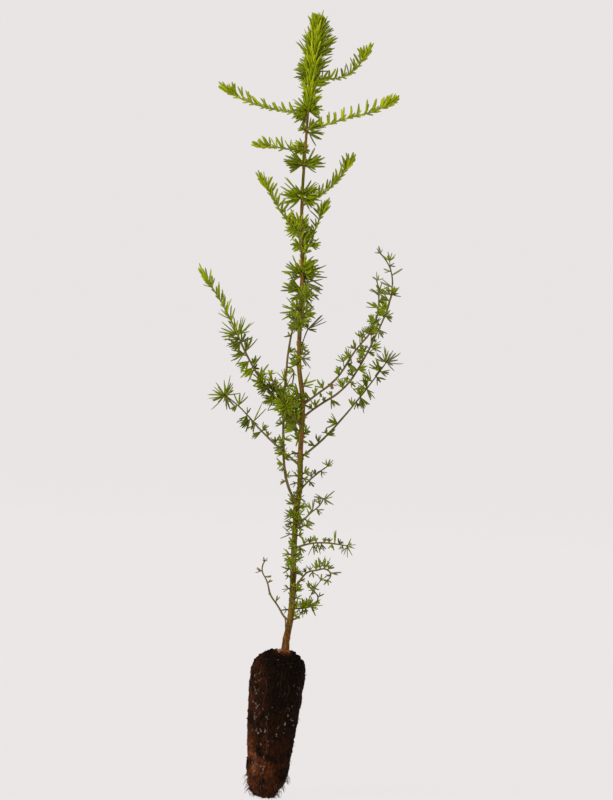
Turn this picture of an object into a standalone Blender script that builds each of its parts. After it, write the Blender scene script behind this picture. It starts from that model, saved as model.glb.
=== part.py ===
# Larch sapling on its root ball: a tapered peat plug, a slim stem that runs to the leader's tip,
# the side branches, and the masses of needles round them.
# Metres, +Z up. The origin is the centre of the root ball's flat underside; -Y is the front.

from math import cos, pi, radians, sin, sqrt
from typing import NamedTuple

import bmesh
import bpy
from mathutils import Vector, noise

GAP = 0.0003            # clearance between pieces that touch
MASS_GAP = 0.0008       # clearance between two masses, whose surfaces are uneven
WELD = 0.00001          # distance within which a tube's caps join its side
SHARP_ANGLE = 50        # degrees between faces, above which an edge isn't shaded smooth

# The plug, from the rim of its foot up to the crown of its top: height and half width.
PLUG_PROFILE = (
    (0.0000, 0.0145), (0.0030, 0.0170), (0.0100, 0.0190), (0.0250, 0.0210), (0.0500, 0.0230),
    (0.0800, 0.0258), (0.1050, 0.0278), (0.1250, 0.0288), (0.1380, 0.0270), (0.1455, 0.0215),
    (0.1480, 0.0110),
)
PLUG_TOP = 0.1485
PLUG_FOOT = 0.0         # height of its flat underside
PLUG_LEAN = 0.0045      # how far the plug's axis has moved towards +X at its top
PLUG_SIDES = 20
PLUG_LUMPS = 0.07       # how far its side wanders in and out, as a share of its half width
PLUG_LUMP_SIZE = 0.014
PLUG_SEED = 1

# The trunk's axis and half thickness: height, x, y, radius. It flares at its foot, in the plug.
TRUNK = (
    (0.1400, 0.0100, 0.0000, 0.0052), (0.1500, 0.0104, 0.0000, 0.0046),
    (0.1620, 0.0108, 0.0000, 0.0038), (0.1800, 0.0134, 0.0005, 0.0035),
    (0.2050, 0.0143, 0.0010, 0.0033), (0.2450, 0.0131, 0.0015, 0.0031),
    (0.2900, 0.0131, 0.0010, 0.0030), (0.3180, 0.0150, 0.0000, 0.0029),
    (0.3550, 0.0136, -0.0010, 0.0028), (0.4050, 0.0127, -0.0015, 0.0026),
    (0.4400, 0.0070, -0.0010, 0.0024), (0.4850, 0.0050, 0.0000, 0.0022),
    (0.5400, 0.0040, 0.0010, 0.0020), (0.6050, -0.0003, 0.0012, 0.0017),
    (0.6900, 0.0000, 0.0005, 0.0013), (0.7350, 0.0016, 0.0000, 0.0010),
    (0.7900, 0.0045, 0.0000, 0.0005),
)
TRUNK_STATION = 0.0125  # distance between the stations of its tube
TRUNK_SIDES = 8

BRANCH_STEPS = 60       # steps in which a branch's axis is worked out
BRANCH_TIP = 0.0005     # radius at a branch's tip
LIMB_TAPER = 0.8        # power of its taper: 1 for a straight cone
LIMB_STATION = 0.016
LIMB_SIDES = 6
BOUGH_INTO_MASS = 0.003  # how far a bough reaches into its mass

PAST_TIP = 0.010        # how far needles stand past the tip of their twig
MASS_STATION = 0.0105
MASS_SIDES = 6
MASS_LUMPS = 0.28       # how far a mass wanders in and out, as a share of its half width
MASS_LUMP_SIZE = 0.011
MASS_SEEDS = 200        # the first branch's mass takes this seed, and each next one more
COLLAR_SEEDS = 100
MASS_END = 0.24         # half width at a mass's very ends, as a share of its full one
TUFT_NECK = 0.62        # half width between two tufts, as a share of that at a tuft
STATIONS_PER_TUFT = 3
COMBED_UP = 0.002       # how far the needles of an even mass stand above their twig


class Branch(NamedTuple):
    at: float           # height of its foot on the trunk
    heading: float      # degrees round the trunk, 0 = +X, 90 = +Y, -90 = front
    turn: float         # how far the heading has changed at the tip
    length: float
    rises: tuple        # rise of the axis in degrees, at even stations from foot to tip
    radius: float       # at the foot
    leafy_from: float   # share of the length where its needles begin: 0 leaves no bare bough, 1 no mass
    half_widths: tuple  # of the mass round it, at its start and its end
    tufts: int          # lobes of that mass, 0 for an even one


BRANCHES = {
    "lower_front_1": Branch(0.300, -138, 80, 0.200, (42, 76, 80, 80, 62), 0.0011, 0.22, (0.0055, 0.0065), 9),
    "upper_right_1": Branch(0.735, 25, 0, 0.085, (2, 24, 72), 0.0010, 0.26, (0.0070, 0.0075), 0),
    "upper_left_1": Branch(0.697, 172, 0, 0.096, (5, 11, 32), 0.0011, 0.09, (0.0100, 0.0075), 0),
    "upper_right_2": Branch(0.684, -12, 0, 0.101, (6, 22, 16, 46), 0.0011, 0.08, (0.0105, 0.0080), 0),
    "upper_left_2": Branch(0.662, -150, 0, 0.060, (-3, 9, -12), 0.0009, 0, (0.0085, 0.0075), 0),
    "upper_back_1": Branch(0.657, 82, 0, 0.064, (10, 28, 48), 0.0010, 0, (0.0090, 0.0075), 0),
    "upper_right_3": Branch(0.605, 30, 0, 0.083, (34, 40, 68), 0.0011, 0.20, (0.0085, 0.0080), 0),
    "upper_left_3": Branch(0.575, -148, 0, 0.081, (39, 37, 59, 32), 0.0011, 0.16, (0.0090, 0.0085), 0),
    "upper_back_2": Branch(0.580, 99, 0, 0.074, (30, 44, 58), 0.0011, 0.14, (0.0095, 0.0080), 0),
    "upper_right_4": Branch(0.553, 52, 0, 0.068, (48, 70, 52), 0.0010, 0, (0.0080, 0.0070), 3),
    "upper_front_1": Branch(0.550, -104, 0, 0.062, (28, 45, 52), 0.0010, 0, (0.0090, 0.0100), 0),
    "upper_back_3": Branch(0.532, 90, 0, 0.078, (26, 44, 56), 0.0011, 0, (0.0090, 0.0080), 3),
    "middle_front_1": Branch(0.470, -78, 0, 0.082, (25, 42, 56), 0.0012, 0.20, (0.0100, 0.0090), 3),
    "middle_right_1": Branch(0.455, 55, 0, 0.055, (74, 43, 14), 0.0008, 0, (0.0060, 0.0065), 2),
    "middle_back_1": Branch(0.450, 97, 0, 0.096, (25, 42, 58), 0.0013, 0.20, (0.0100, 0.0085), 4),
    "middle_right_2": Branch(0.406, -30, 0, 0.157, (24, 50, 60, 108), 0.0014, 0.20, (0.0075, 0.0085), 7),
    "middle_right_3": Branch(0.393, 8, 0, 0.207, (22, 45, 64, 68, 86, 138), 0.0015, 0.22, (0.008, 0.0095), 8),
    "middle_left_1": Branch(0.382, -165, 0, 0.185, (35, 49, 57, 60, 48), 0.0016, 0.10, (0.0140, 0.0075), 6),
    "middle_front_2": Branch(0.378, -119, 0, 0.108, (25, 40, 52), 0.0014, 0.18, (0.0120, 0.0100), 4),
    "middle_back_2": Branch(0.360, 86, 0, 0.118, (22, 42, 56), 0.0014, 0.22, (0.0100, 0.0090), 5),
    "middle_right_4": Branch(0.352, 32, 0, 0.142, (28, 50, 51), 0.0014, 0.30, (0.0080, 0.0120), 6),
    "middle_left_2": Branch(0.340, 150, 0, 0.116, (27, 40, 33), 0.0013, 0.26, (0.0085, 0.0150), 5),
    "lower_right_1": Branch(0.317, 40, 0, 0.045, (31, 33), 0.0009, 0, (0.0070, 0.0085), 2),
    "lower_right_2": Branch(0.282, -42, 0, 0.048, (8, 39, 60), 0.0009, 0, (0.0070, 0.0100), 2),
    "lower_back_1": Branch(0.272, 84, 0, 0.088, (18, 40, 52), 0.0012, 0.22, (0.0085, 0.0095), 4),
    "lower_right_3": Branch(0.255, -18, 0, 0.058, (27, 15, 2, -12), 0.0011, 0.22, (0.0080, 0.0105), 3),
    "lower_front_2": Branch(0.238, -84, 0, 0.074, (22, 44, 56), 0.0012, 0.22, (0.0095, 0.0095), 3),
    "lower_right_4": Branch(0.219, -35, 0, 0.062, (24, 50, 12, 0, -80), 0.0010, 0.26, (0.0075, 0.0065), 3),
    "lower_back_2": Branch(0.205, 96, 0, 0.060, (15, 38, 52), 0.0010, 0, (0.0080, 0.0085), 2),
    "lower_right_5": Branch(0.194, 20, 0, 0.046, (9, -6, 6, 76, 110, 165), 0.0010, 0.24, (0.0080, 0.0080), 2),
    "lower_left_1": Branch(0.186, 140, 0, 0.069, (12, 48, 54, 86), 0.0010, 1.0, (0, 0), 0),
}


class Whorl(NamedTuple):
    low: float          # heights on the trunk between which its needles stand
    high: float
    half_width: float   # at its middle


WHORLS = {
    "whorl_1": Whorl(0.636, 0.654, 0.0150),
    "whorl_2": Whorl(0.603, 0.630, 0.0160),
    "whorl_3": Whorl(0.522, 0.548, 0.0160),
    "whorl_4": Whorl(0.480, 0.515, 0.0140),
    "whorl_5": Whorl(0.272, 0.298, 0.0110),
}
WHORL_END = 0.45        # half width at a whorl's ends, as a share of that at its middle
WHORL_STATIONS = 6
COLLAR_SIDES = 8
# The leader's needles: height and half width of the mass round the trunk's tip.
LEADER = (
    (0.700, 0.0060), (0.708, 0.0120), (0.722, 0.0165), (0.740, 0.0150), (0.756, 0.0135),
    (0.772, 0.0175), (0.786, 0.0160), (0.798, 0.0095), (0.806, 0.0025),
)

# Base colour and roughness.
MATERIALS = {
    "bark": ((0.23, 0.105, 0.045), 0.75),
    "needles_top": ((0.24, 0.30, 0.03), 0.60),
    "needles_upper": ((0.17, 0.25, 0.03), 0.60),
    "needles_middle": ((0.07, 0.13, 0.03), 0.60),
    "needles_lower": ((0.06, 0.09, 0.03), 0.65),
    "peat": ((0.020, 0.011, 0.007), 0.95),
}
# Needles that start above this height take this material.
NEEDLE_BANDS = (
    (0.66, "needles_top"), (0.47, "needles_upper"), (0.33, "needles_middle"), (0, "needles_lower"),
)


def clear_scene():
    for thing in list(bpy.data.objects):
        bpy.data.objects.remove(thing, do_unlink=True)


def new_collection(name):
    collection = bpy.data.collections.new(name)
    bpy.context.scene.collection.children.link(collection)
    return collection


def new_material(name):
    colour, roughness = MATERIALS[name]
    material = bpy.data.materials.new(name)
    material.use_nodes = True
    shader = material.node_tree.nodes["Principled BSDF"]
    shader.inputs["Base Color"].default_value = (*colour, 1)
    shader.inputs["Roughness"].default_value = roughness
    shader.inputs["Metallic"].default_value = 0
    return material


def between(values, share):
    """The value at this share of the way along evenly spaced values."""
    place = min(max(share, 0), 1) * (len(values) - 1)
    index = min(int(place), len(values) - 2)
    return values[index] + (values[index + 1] - values[index]) * (place - index)


def smooth_row(rows, height):
    """The row at this height, on a smooth curve through rows that start with their height."""
    index = 0
    while index < len(rows) - 2 and height > rows[index + 1][0]:
        index += 1
    before, low = rows[max(index - 1, 0)], rows[index]
    high, after = rows[index + 1], rows[min(index + 2, len(rows) - 1)]
    span = high[0] - low[0]
    t = (height - low[0]) / span
    found = []
    for a, b, c, d in zip(before[1:], low[1:], high[1:], after[1:]):
        start = (c - a) * span / (high[0] - before[0])
        end = (d - b) * span / (after[0] - low[0])
        found.append(
            (2 * t**3 - 3 * t**2 + 1) * b + (t**3 - 2 * t**2 + t) * start
            + (3 * t**2 - 2 * t**3) * c + (t**3 - t**2) * end
        )
    return found


def trunk_centre(height):
    x, y, _ = smooth_row(TRUNK, height)
    return Vector((x, y, height))


def trunk_radius(height):
    return smooth_row(TRUNK, height)[2]


def branch_axis(branch):
    """The branch's axis as BRANCH_STEPS + 1 points, from the trunk's centre to its tip."""
    point = trunk_centre(branch.at)
    points = [point]
    for step in range(BRANCH_STEPS):
        share = (step + 0.5) / BRANCH_STEPS
        rise = radians(between(branch.rises, share))
        heading = radians(branch.heading + branch.turn * share)
        way = Vector((cos(rise) * cos(heading), cos(rise) * sin(heading), sin(rise)))
        point = point + way * (branch.length / BRANCH_STEPS)
        points.append(point)
    return points


def tube(name, points, radii, sides, collection):
    """A closed tube through the points, one radius to each, as a mesh object."""
    curve = bpy.data.curves.new(name + "_curve", "CURVE")
    curve.dimensions = "3D"
    curve.bevel_depth = 1.0
    curve.bevel_resolution = (sides - 4) // 2
    curve.use_fill_caps = True
    spline = curve.splines.new("POLY")
    spline.points.add(len(points) - 1)
    for knot, point, radius in zip(spline.points, points, radii):
        knot.co = (*point, 1)
        knot.radius = radius
    guide = bpy.data.objects.new(name + "_curve", curve)
    collection.objects.link(guide)
    bpy.context.view_layer.update()
    evaluated = guide.evaluated_get(bpy.context.evaluated_depsgraph_get())
    mesh = bpy.data.meshes.new_from_object(evaluated)
    mesh.name = name
    made = bpy.data.objects.new(name, mesh)
    made.matrix_world = guide.matrix_world
    collection.objects.link(made)
    bpy.data.objects.remove(guide, do_unlink=True)
    weld(mesh)
    return made


def weld(mesh):
    shape = bmesh.new()
    shape.from_mesh(mesh)
    bmesh.ops.remove_doubles(shape, verts=shape.verts, dist=WELD)
    bmesh.ops.recalc_face_normals(shape, faces=shape.faces)
    shape.to_mesh(mesh)
    shape.free()


def roughen(mesh, centres, lumps, size, seed):
    """Moves each point towards or away from the nearest of the centres, by noise of this size."""
    shift = Vector((seed * 3.7, seed * 1.3, seed * 2.1))
    for vertex in mesh.vertices:
        centre = min(centres, key=lambda place: (vertex.co - place).length_squared)
        factor = 1 + lumps * noise.noise(vertex.co / size + shift)
        vertex.co = centre + (vertex.co - centre) * factor


def finish_node(thing, material):
    thing.data.materials.clear()
    thing.data.materials.append(material)
    thing.data.shade_smooth()
    thing.data.set_sharp_from_angle(angle=radians(SHARP_ANGLE))


def boxes_meet(first, second):
    for axis in range(3):
        one = [vertex.co[axis] for vertex in first.data.vertices]
        two = [vertex.co[axis] for vertex in second.data.vertices]
        if min(one) > max(two) or min(two) > max(one):
            return False
    return True


def cut(thing, cutters):
    """Takes the cutters off the thing, and keeps the largest body that is left."""
    for cutter in cutters:
        if boxes_meet(thing, cutter):
            modifier = thing.modifiers.new(cutter.name, "BOOLEAN")
            modifier.operation = "DIFFERENCE"
            modifier.object = cutter
    if not thing.modifiers:
        return
    bpy.context.view_layer.update()
    evaluated = thing.evaluated_get(bpy.context.evaluated_depsgraph_get())
    whole = thing.data
    thing.data = bpy.data.meshes.new_from_object(evaluated)
    thing.modifiers.clear()
    bpy.data.meshes.remove(whole)
    thing.data.name = thing.name
    keep_largest_body(thing.data)


def keep_largest_body(mesh):
    shape = bmesh.new()
    shape.from_mesh(mesh)
    bmesh.ops.triangulate(shape, faces=shape.faces)
    left = set(shape.verts)
    bodies = []
    while left:
        body, edge = set(), [left.pop()]
        while edge:
            vertex = edge.pop()
            body.add(vertex)
            near = {link.other_vert(vertex) for link in vertex.link_edges}
            edge.extend(near & left)
            left -= near
        bodies.append(body)
    bodies.sort(key=len)
    crumbs = [vertex for body in bodies[:-1] for vertex in body]
    bmesh.ops.delete(shape, geom=crumbs, context="VERTS")
    shape.to_mesh(mesh)
    shape.free()


def as_cutter(thing):
    thing.hide_render = True
    thing.display_type = "WIRE"
    return thing


def make_trunk(parts, cutters):
    """The trunk, and the cutter that keeps its neighbours clear of it."""
    foot, tip = TRUNK[0][0], TRUNK[-1][0]
    count = round((tip - foot) / TRUNK_STATION)
    heights = [foot + (tip - foot) * step / count for step in range(count + 1)]
    points = [trunk_centre(height) for height in heights]
    radii = [trunk_radius(height) for height in heights]
    trunk = tube("trunk", points, radii, TRUNK_SIDES, parts)
    points[0] = points[0] - Vector((0, 0, GAP))
    points[-1] = points[-1] + Vector((0, 0, GAP))
    wider = [radius + GAP for radius in radii]
    return trunk, as_cutter(tube("trunk_clearance", points, wider, TRUNK_SIDES, cutters))


def make_root_ball(parts, trunk_cutter):
    """A turned plug whose axis leans, with an uneven side, a flat underside and the trunk's socket."""
    profile = bpy.data.meshes.new("root_ball")
    outline = [(PLUG_TOP, 0), *reversed(PLUG_PROFILE), (PLUG_FOOT, 0)]
    points = [(half_width, 0, height) for height, half_width in outline]
    edges = [(index, index + 1) for index in range(len(points) - 1)]
    profile.from_pydata(points, edges, [])
    ball = bpy.data.objects.new("root_ball", profile)
    parts.objects.link(ball)
    screw = ball.modifiers.new("turn", "SCREW")
    screw.axis = "Z"
    screw.steps = PLUG_SIDES
    screw.render_steps = PLUG_SIDES
    screw.use_merge_vertices = True
    screw.merge_threshold = WELD
    bpy.context.view_layer.update()
    turned = bpy.data.meshes.new_from_object(
        ball.evaluated_get(bpy.context.evaluated_depsgraph_get())
    )
    ball.modifiers.clear()
    ball.data = turned
    weld(turned)
    levels = [Vector((0, 0, height)) for height, _ in outline]
    roughen(turned, levels, PLUG_LUMPS, PLUG_LUMP_SIZE, PLUG_SEED)
    for vertex in turned.vertices:
        vertex.co.x += PLUG_LEAN * (vertex.co.z / PLUG_TOP)
    cut(ball, [trunk_cutter])
    return ball


def limb_radius(branch, share):
    return BRANCH_TIP + (branch.radius - BRANCH_TIP) * (1 - share) ** LIMB_TAPER


def bough_end(branch):
    return min(branch.leafy_from + BOUGH_INTO_MASS / branch.length, 1)


def make_bough(name, branch, parts, cutters, trunk_cutter):
    """The bare limb from the trunk to just inside its mass, and its own clearance."""
    axis = branch_axis(branch)
    end = bough_end(branch)
    count = max(3, round(branch.length * end / LIMB_STATION) + 1)
    shares = [end * step / count for step in range(count + 1)]
    points = [between(axis, share) for share in shares]
    radii = [limb_radius(branch, share) for share in shares]
    bough = tube("bough_" + name, points, radii, LIMB_SIDES, parts)
    cut(bough, [trunk_cutter])
    points[-1] = points[-1] + (points[-1] - points[-2]).normalized() * GAP
    wider = [radius + GAP for radius in radii]
    clearance = tube("bough_clearance_" + name, points, wider, LIMB_SIDES, cutters)
    return bough, as_cutter(clearance)


def mass_radius(branch, share):
    """Half width of the needles at this share of the mass, lobed by its tufts, round at its ends."""
    start, end = branch.half_widths
    width = start + (end - start) * share
    if branch.tufts:
        width *= TUFT_NECK + (1 - TUFT_NECK) * sin(pi * branch.tufts * share) ** 2
    return width * max(sqrt(1 - abs(2 * share - 1) ** 5), MASS_END)


def uneven_tube(name, points, radii, sides, seed, grow, collection):
    """A closed tube with an uneven side, grown outwards by this much to make a clearance."""
    points = list(points)
    points[0] = points[0] - (points[1] - points[0]).normalized() * grow
    points[-1] = points[-1] + (points[-1] - points[-2]).normalized() * grow
    mass = tube(name, points, [radius + grow for radius in radii], sides, collection)
    roughen(mass.data, points, MASS_LUMPS, MASS_LUMP_SIZE, seed)
    return mass


def make_mass(name, branch, seed, grow, collection):
    """The needles round the outer part of a branch, from where they begin to past its tip."""
    axis = branch_axis(branch)
    way = (axis[-1] - axis[-2]).normalized()
    bare = branch.leafy_from
    length = branch.length * (1 - bare) + PAST_TIP
    count = max(round(length / MASS_STATION), STATIONS_PER_TUFT * branch.tufts)
    points, radii = [], []
    for step in range(count + 1):
        share = step / count
        reach = bare * branch.length + share * length
        beyond = max(reach - branch.length, 0)
        point = between(axis, reach / branch.length) + way * beyond
        point.z += 0 if branch.tufts else COMBED_UP
        points.append(point)
        radii.append(mass_radius(branch, share))
    return uneven_tube(name, points, radii, MASS_SIDES, seed, grow, collection)


def make_collar(name, rows, seed, grow, collection):
    """Needles that stand round the trunk itself: rows of height and half width."""
    points = [trunk_centre(min(height, TRUNK[-1][0])) for height, _ in rows]
    for point, (height, _) in zip(points, rows):
        point.z = height
    radii = [radius for _, radius in rows]
    return uneven_tube(name, points, radii, COLLAR_SIDES, seed, grow, collection)


def whorl_rows(whorl):
    """Height and half width of a whorl's mass, which bulges between its ends."""
    rows = []
    for station in range(WHORL_STATIONS):
        share = station / (WHORL_STATIONS - 1)
        height = whorl.low + (whorl.high - whorl.low) * share
        bulge = WHORL_END + (1 - WHORL_END) * sin(pi * share)
        rows.append((height, whorl.half_width * bulge))
    return rows


def needles_material(height, materials):
    return next(materials[name] for above, name in NEEDLE_BANDS if height > above)


def main():
    clear_scene()
    parts = new_collection("larch_sapling")
    cutters = new_collection("cutters")
    cutters.hide_render = True
    materials = {name: new_material(name) for name in MATERIALS}

    trunk, trunk_cutter = make_trunk(parts, cutters)
    finish_node(trunk, materials["bark"])
    ball = make_root_ball(parts, trunk_cutter)
    finish_node(ball, materials["peat"])

    taken = [trunk_cutter]  # what each mass is cut clear of
    for name, branch in BRANCHES.items():
        if branch.leafy_from > 0:
            bough, clearance = make_bough(name, branch, parts, cutters, trunk_cutter)
            finish_node(bough, materials["bark"])
            taken.append(clearance)

    collars = {"leader": LEADER}
    collars.update({name: whorl_rows(whorl) for name, whorl in WHORLS.items()})
    for seed, (name, rows) in enumerate(collars.items(), start=COLLAR_SEEDS):
        mass = make_collar(name + "_mass", rows, seed, 0, parts)
        cut(mass, taken)
        finish_node(mass, needles_material(rows[0][0], materials))
        clearance = make_collar(name + "_clearance", rows, seed, MASS_GAP, cutters)
        taken.append(as_cutter(clearance))

    leafy = {name: branch for name, branch in BRANCHES.items() if branch.leafy_from < 1}
    for seed, (name, branch) in enumerate(leafy.items(), start=MASS_SEEDS):
        mass = make_mass("mass_" + name, branch, seed, 0, parts)
        cut(mass, taken)
        finish_node(mass, needles_material(branch.at, materials))
        clearance = make_mass("mass_clearance_" + name, branch, seed, MASS_GAP, cutters)
        taken.append(as_cutter(clearance))


main()
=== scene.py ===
# A young larch on its root ball: barked stem and twigs, needles in tufts and singles, and crumbly peat.
# Metres, +Z up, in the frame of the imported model. -Y is the front.
import random
from math import ceil, cos, exp, pi, radians, sin, sqrt

import bpy
import numpy as np
from mathutils import Matrix, Vector, noise


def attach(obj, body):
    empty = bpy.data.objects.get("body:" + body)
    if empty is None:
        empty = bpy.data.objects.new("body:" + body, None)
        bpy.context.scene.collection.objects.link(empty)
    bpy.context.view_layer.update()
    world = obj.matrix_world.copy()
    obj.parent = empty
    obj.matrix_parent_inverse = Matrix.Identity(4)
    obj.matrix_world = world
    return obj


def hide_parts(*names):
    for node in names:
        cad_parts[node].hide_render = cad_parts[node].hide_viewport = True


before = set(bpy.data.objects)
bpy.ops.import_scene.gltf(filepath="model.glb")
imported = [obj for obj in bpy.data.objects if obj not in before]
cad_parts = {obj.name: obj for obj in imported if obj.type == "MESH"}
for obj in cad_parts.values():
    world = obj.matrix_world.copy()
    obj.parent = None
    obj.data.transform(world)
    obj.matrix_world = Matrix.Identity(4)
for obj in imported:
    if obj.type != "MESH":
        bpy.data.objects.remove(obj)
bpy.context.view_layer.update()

goldenTurn = radians(137.508)  # from one needle or bud to the next, round a shoot
upward = Vector((0, 0, 1))
octaveShift = Vector((7.3, 1.9, 4.1))  # keeps the layers of noise from lining up


def between(values, share):
    # the value at this share of the way along evenly spaced values
    place = min(max(share, 0), 1) * (len(values) - 1)
    index = min(int(place), len(values) - 2)
    return values[index] + (values[index + 1] - values[index]) * (place - index)


def smoothRow(rows, height):
    # the row at this height, on a smooth curve through rows that start with their height
    index = 0
    while index < len(rows) - 2 and height > rows[index + 1][0]:
        index += 1
    before, low = rows[max(index - 1, 0)], rows[index]
    high, after = rows[index + 1], rows[min(index + 2, len(rows) - 1)]
    span = high[0] - low[0]
    t = min(max((height - low[0]) / span, 0), 1)
    found = []
    for a, b, c, d in zip(before[1:], low[1:], high[1:], after[1:]):
        start = (c - a) * span / (high[0] - before[0])
        end = (d - b) * span / (after[0] - low[0])
        found.append(
            (2 * t**3 - 3 * t**2 + 1) * b + (t**3 - 2 * t**2 + t) * start
            + (3 * t**2 - 2 * t**3) * c + (t**3 - t**2) * end
        )
    return found


def heading(degrees, rise=0):
    # the direction that points this way round the stem, 0 = +X, -90 = front, and rises by this much
    turn, lift = radians(degrees), radians(rise)
    return Vector((cos(lift) * cos(turn), cos(lift) * sin(turn), sin(lift)))


def headingOf(way):
    # the heading and the rise of a direction, in degrees
    flat = sqrt(way.x**2 + way.y**2)
    return np.degrees(np.arctan2(way.y, way.x)), np.degrees(np.arctan2(way.z, flat))


def across(along, prefer=upward):
    # two directions square to this one, the first as near as can be to the preferred one
    first = prefer - along * prefer.dot(along)
    if first.length < 0.12:  # the two nearly line up
        first = Vector((1, 0, 0)) - along * along.x
    first.normalize()
    return first, along.cross(first)


def around(first, second, turn):
    # the direction that lies this far round from the first of two square ones towards the second
    return first * cos(turn) + second * sin(turn)


def tilted(along, out, lean):
    # a direction that leans away from another by this angle
    return along * cos(lean) + out * sin(lean)


def either(chance, reach):
    # a random amount to either side of nothing
    return chance.uniform(-reach, reach)


def roughness(place, size, octaves=3):
    # noise from about -1 to 1, whose largest lumps are this size
    total, gain = 0, 1
    for octave in range(octaves):
        total += gain * noise.noise(place * (2**octave / size) + octaveShift * octave)
        gain *= 0.5
    return total


def group(parts):
    # parts are (points, quads, triangles); they become one, with the corners renumbered
    points, quads, triangles, count = [], [], [], 0
    for somePoints, someQuads, someTriangles in parts:
        points.append(somePoints)
        quads.append(someQuads + count)
        triangles.append(someTriangles + count)
        count += len(somePoints)
    return np.concatenate(points), np.concatenate(quads), np.concatenate(triangles)


def addPiece(name, parts, material, slotName, standsFor):
    points, quads, triangles = group(parts)
    mesh = bpy.data.meshes.new(name)
    mesh.vertices.add(len(points))
    mesh.vertices.foreach_set("co", points.astype(np.float32).ravel())
    corners = np.concatenate([quads.ravel(), triangles.ravel()]).astype(np.int32)
    mesh.loops.add(len(corners))
    mesh.loops.foreach_set("vertex_index", corners)
    starts = np.concatenate([
        np.arange(len(quads)) * 4, len(quads) * 4 + np.arange(len(triangles)) * 3,
    ])
    mesh.polygons.add(len(starts))
    mesh.polygons.foreach_set("loop_start", starts.astype(np.int32))
    mesh.update(calc_edges=True)
    mesh.shade_smooth()
    mesh.materials.append(material)
    piece = bpy.data.objects.new(name, mesh)
    bpy.context.scene.collection.objects.link(piece)
    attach(piece, "root")
    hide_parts(*standsFor)
    print(f"{name}: {len(points)} points, {2 * len(quads) + len(triangles)} triangles")


def skin(count, sides, first, foot, tip):
    # the faces over rings of corners from the corner numbered first, closed by one corner at either end
    ring, step = np.arange(sides), first + np.arange(count - 1)[:, None] * sides
    nextSide, last = (ring + 1) % sides, first + (count - 1) * sides
    quads = np.stack([step + ring, step + nextSide, step + nextSide + sides, step + ring + sides], -1)
    triangles = np.concatenate([
        np.stack([np.full(sides, foot), first + nextSide, first + ring], -1),
        np.stack([np.full(sides, tip), last + ring, last + nextSide], -1),
    ])
    return quads.reshape(-1, 4), triangles


def tube(path, radii, sides, relief=None):
    # a closed tube along the path; relief(place, turn, index) is how far its side stands out
    count = len(path)
    along = (path[1] - path[0]).normalized()
    first, second = across(along, Vector((1, 0, 0)))
    points = []
    for index, (centre, radius) in enumerate(zip(path, radii)):
        ahead = (path[min(index + 1, count - 1)] - path[max(index - 1, 0)]).normalized()
        first, second = across(ahead, first)
        for side in range(sides):
            turn = 2 * pi * side / sides
            out = around(first, second, turn)
            swell = relief(centre + out * radius, turn, index) if relief else 0
            points.append(centre + out * (radius + swell))
    points += [path[0], path[-1]]
    return np.array(points), *skin(count, sides, 0, count * sides, count * sides + 1)


# The stem's axis and half thickness: height, x, y, radius.
stemRows = (
    (0.14, 0.01, 0, 0.0052), (0.15, 0.0104, 0, 0.0046), (0.162, 0.0108, 0, 0.0038),
    (0.18, 0.0134, 0.0005, 0.0035), (0.205, 0.0143, 0.001, 0.0033), (0.245, 0.0131, 0.0015, 0.0031),
    (0.29, 0.0131, 0.001, 0.003), (0.318, 0.015, 0, 0.0029), (0.355, 0.0136, -0.001, 0.0028),
    (0.405, 0.0127, -0.0015, 0.0026), (0.44, 0.007, -0.001, 0.0024), (0.485, 0.005, 0, 0.0022),
    (0.54, 0.004, 0.001, 0.002), (0.605, -0.0003, 0.0012, 0.0017), (0.69, 0, 0.0005, 0.0013),
    (0.735, 0.0016, 0, 0.001), (0.79, 0.0045, 0, 0.0005),
)
barkShare = 0.94  # share of that radius that the bark's relief starts from

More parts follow.
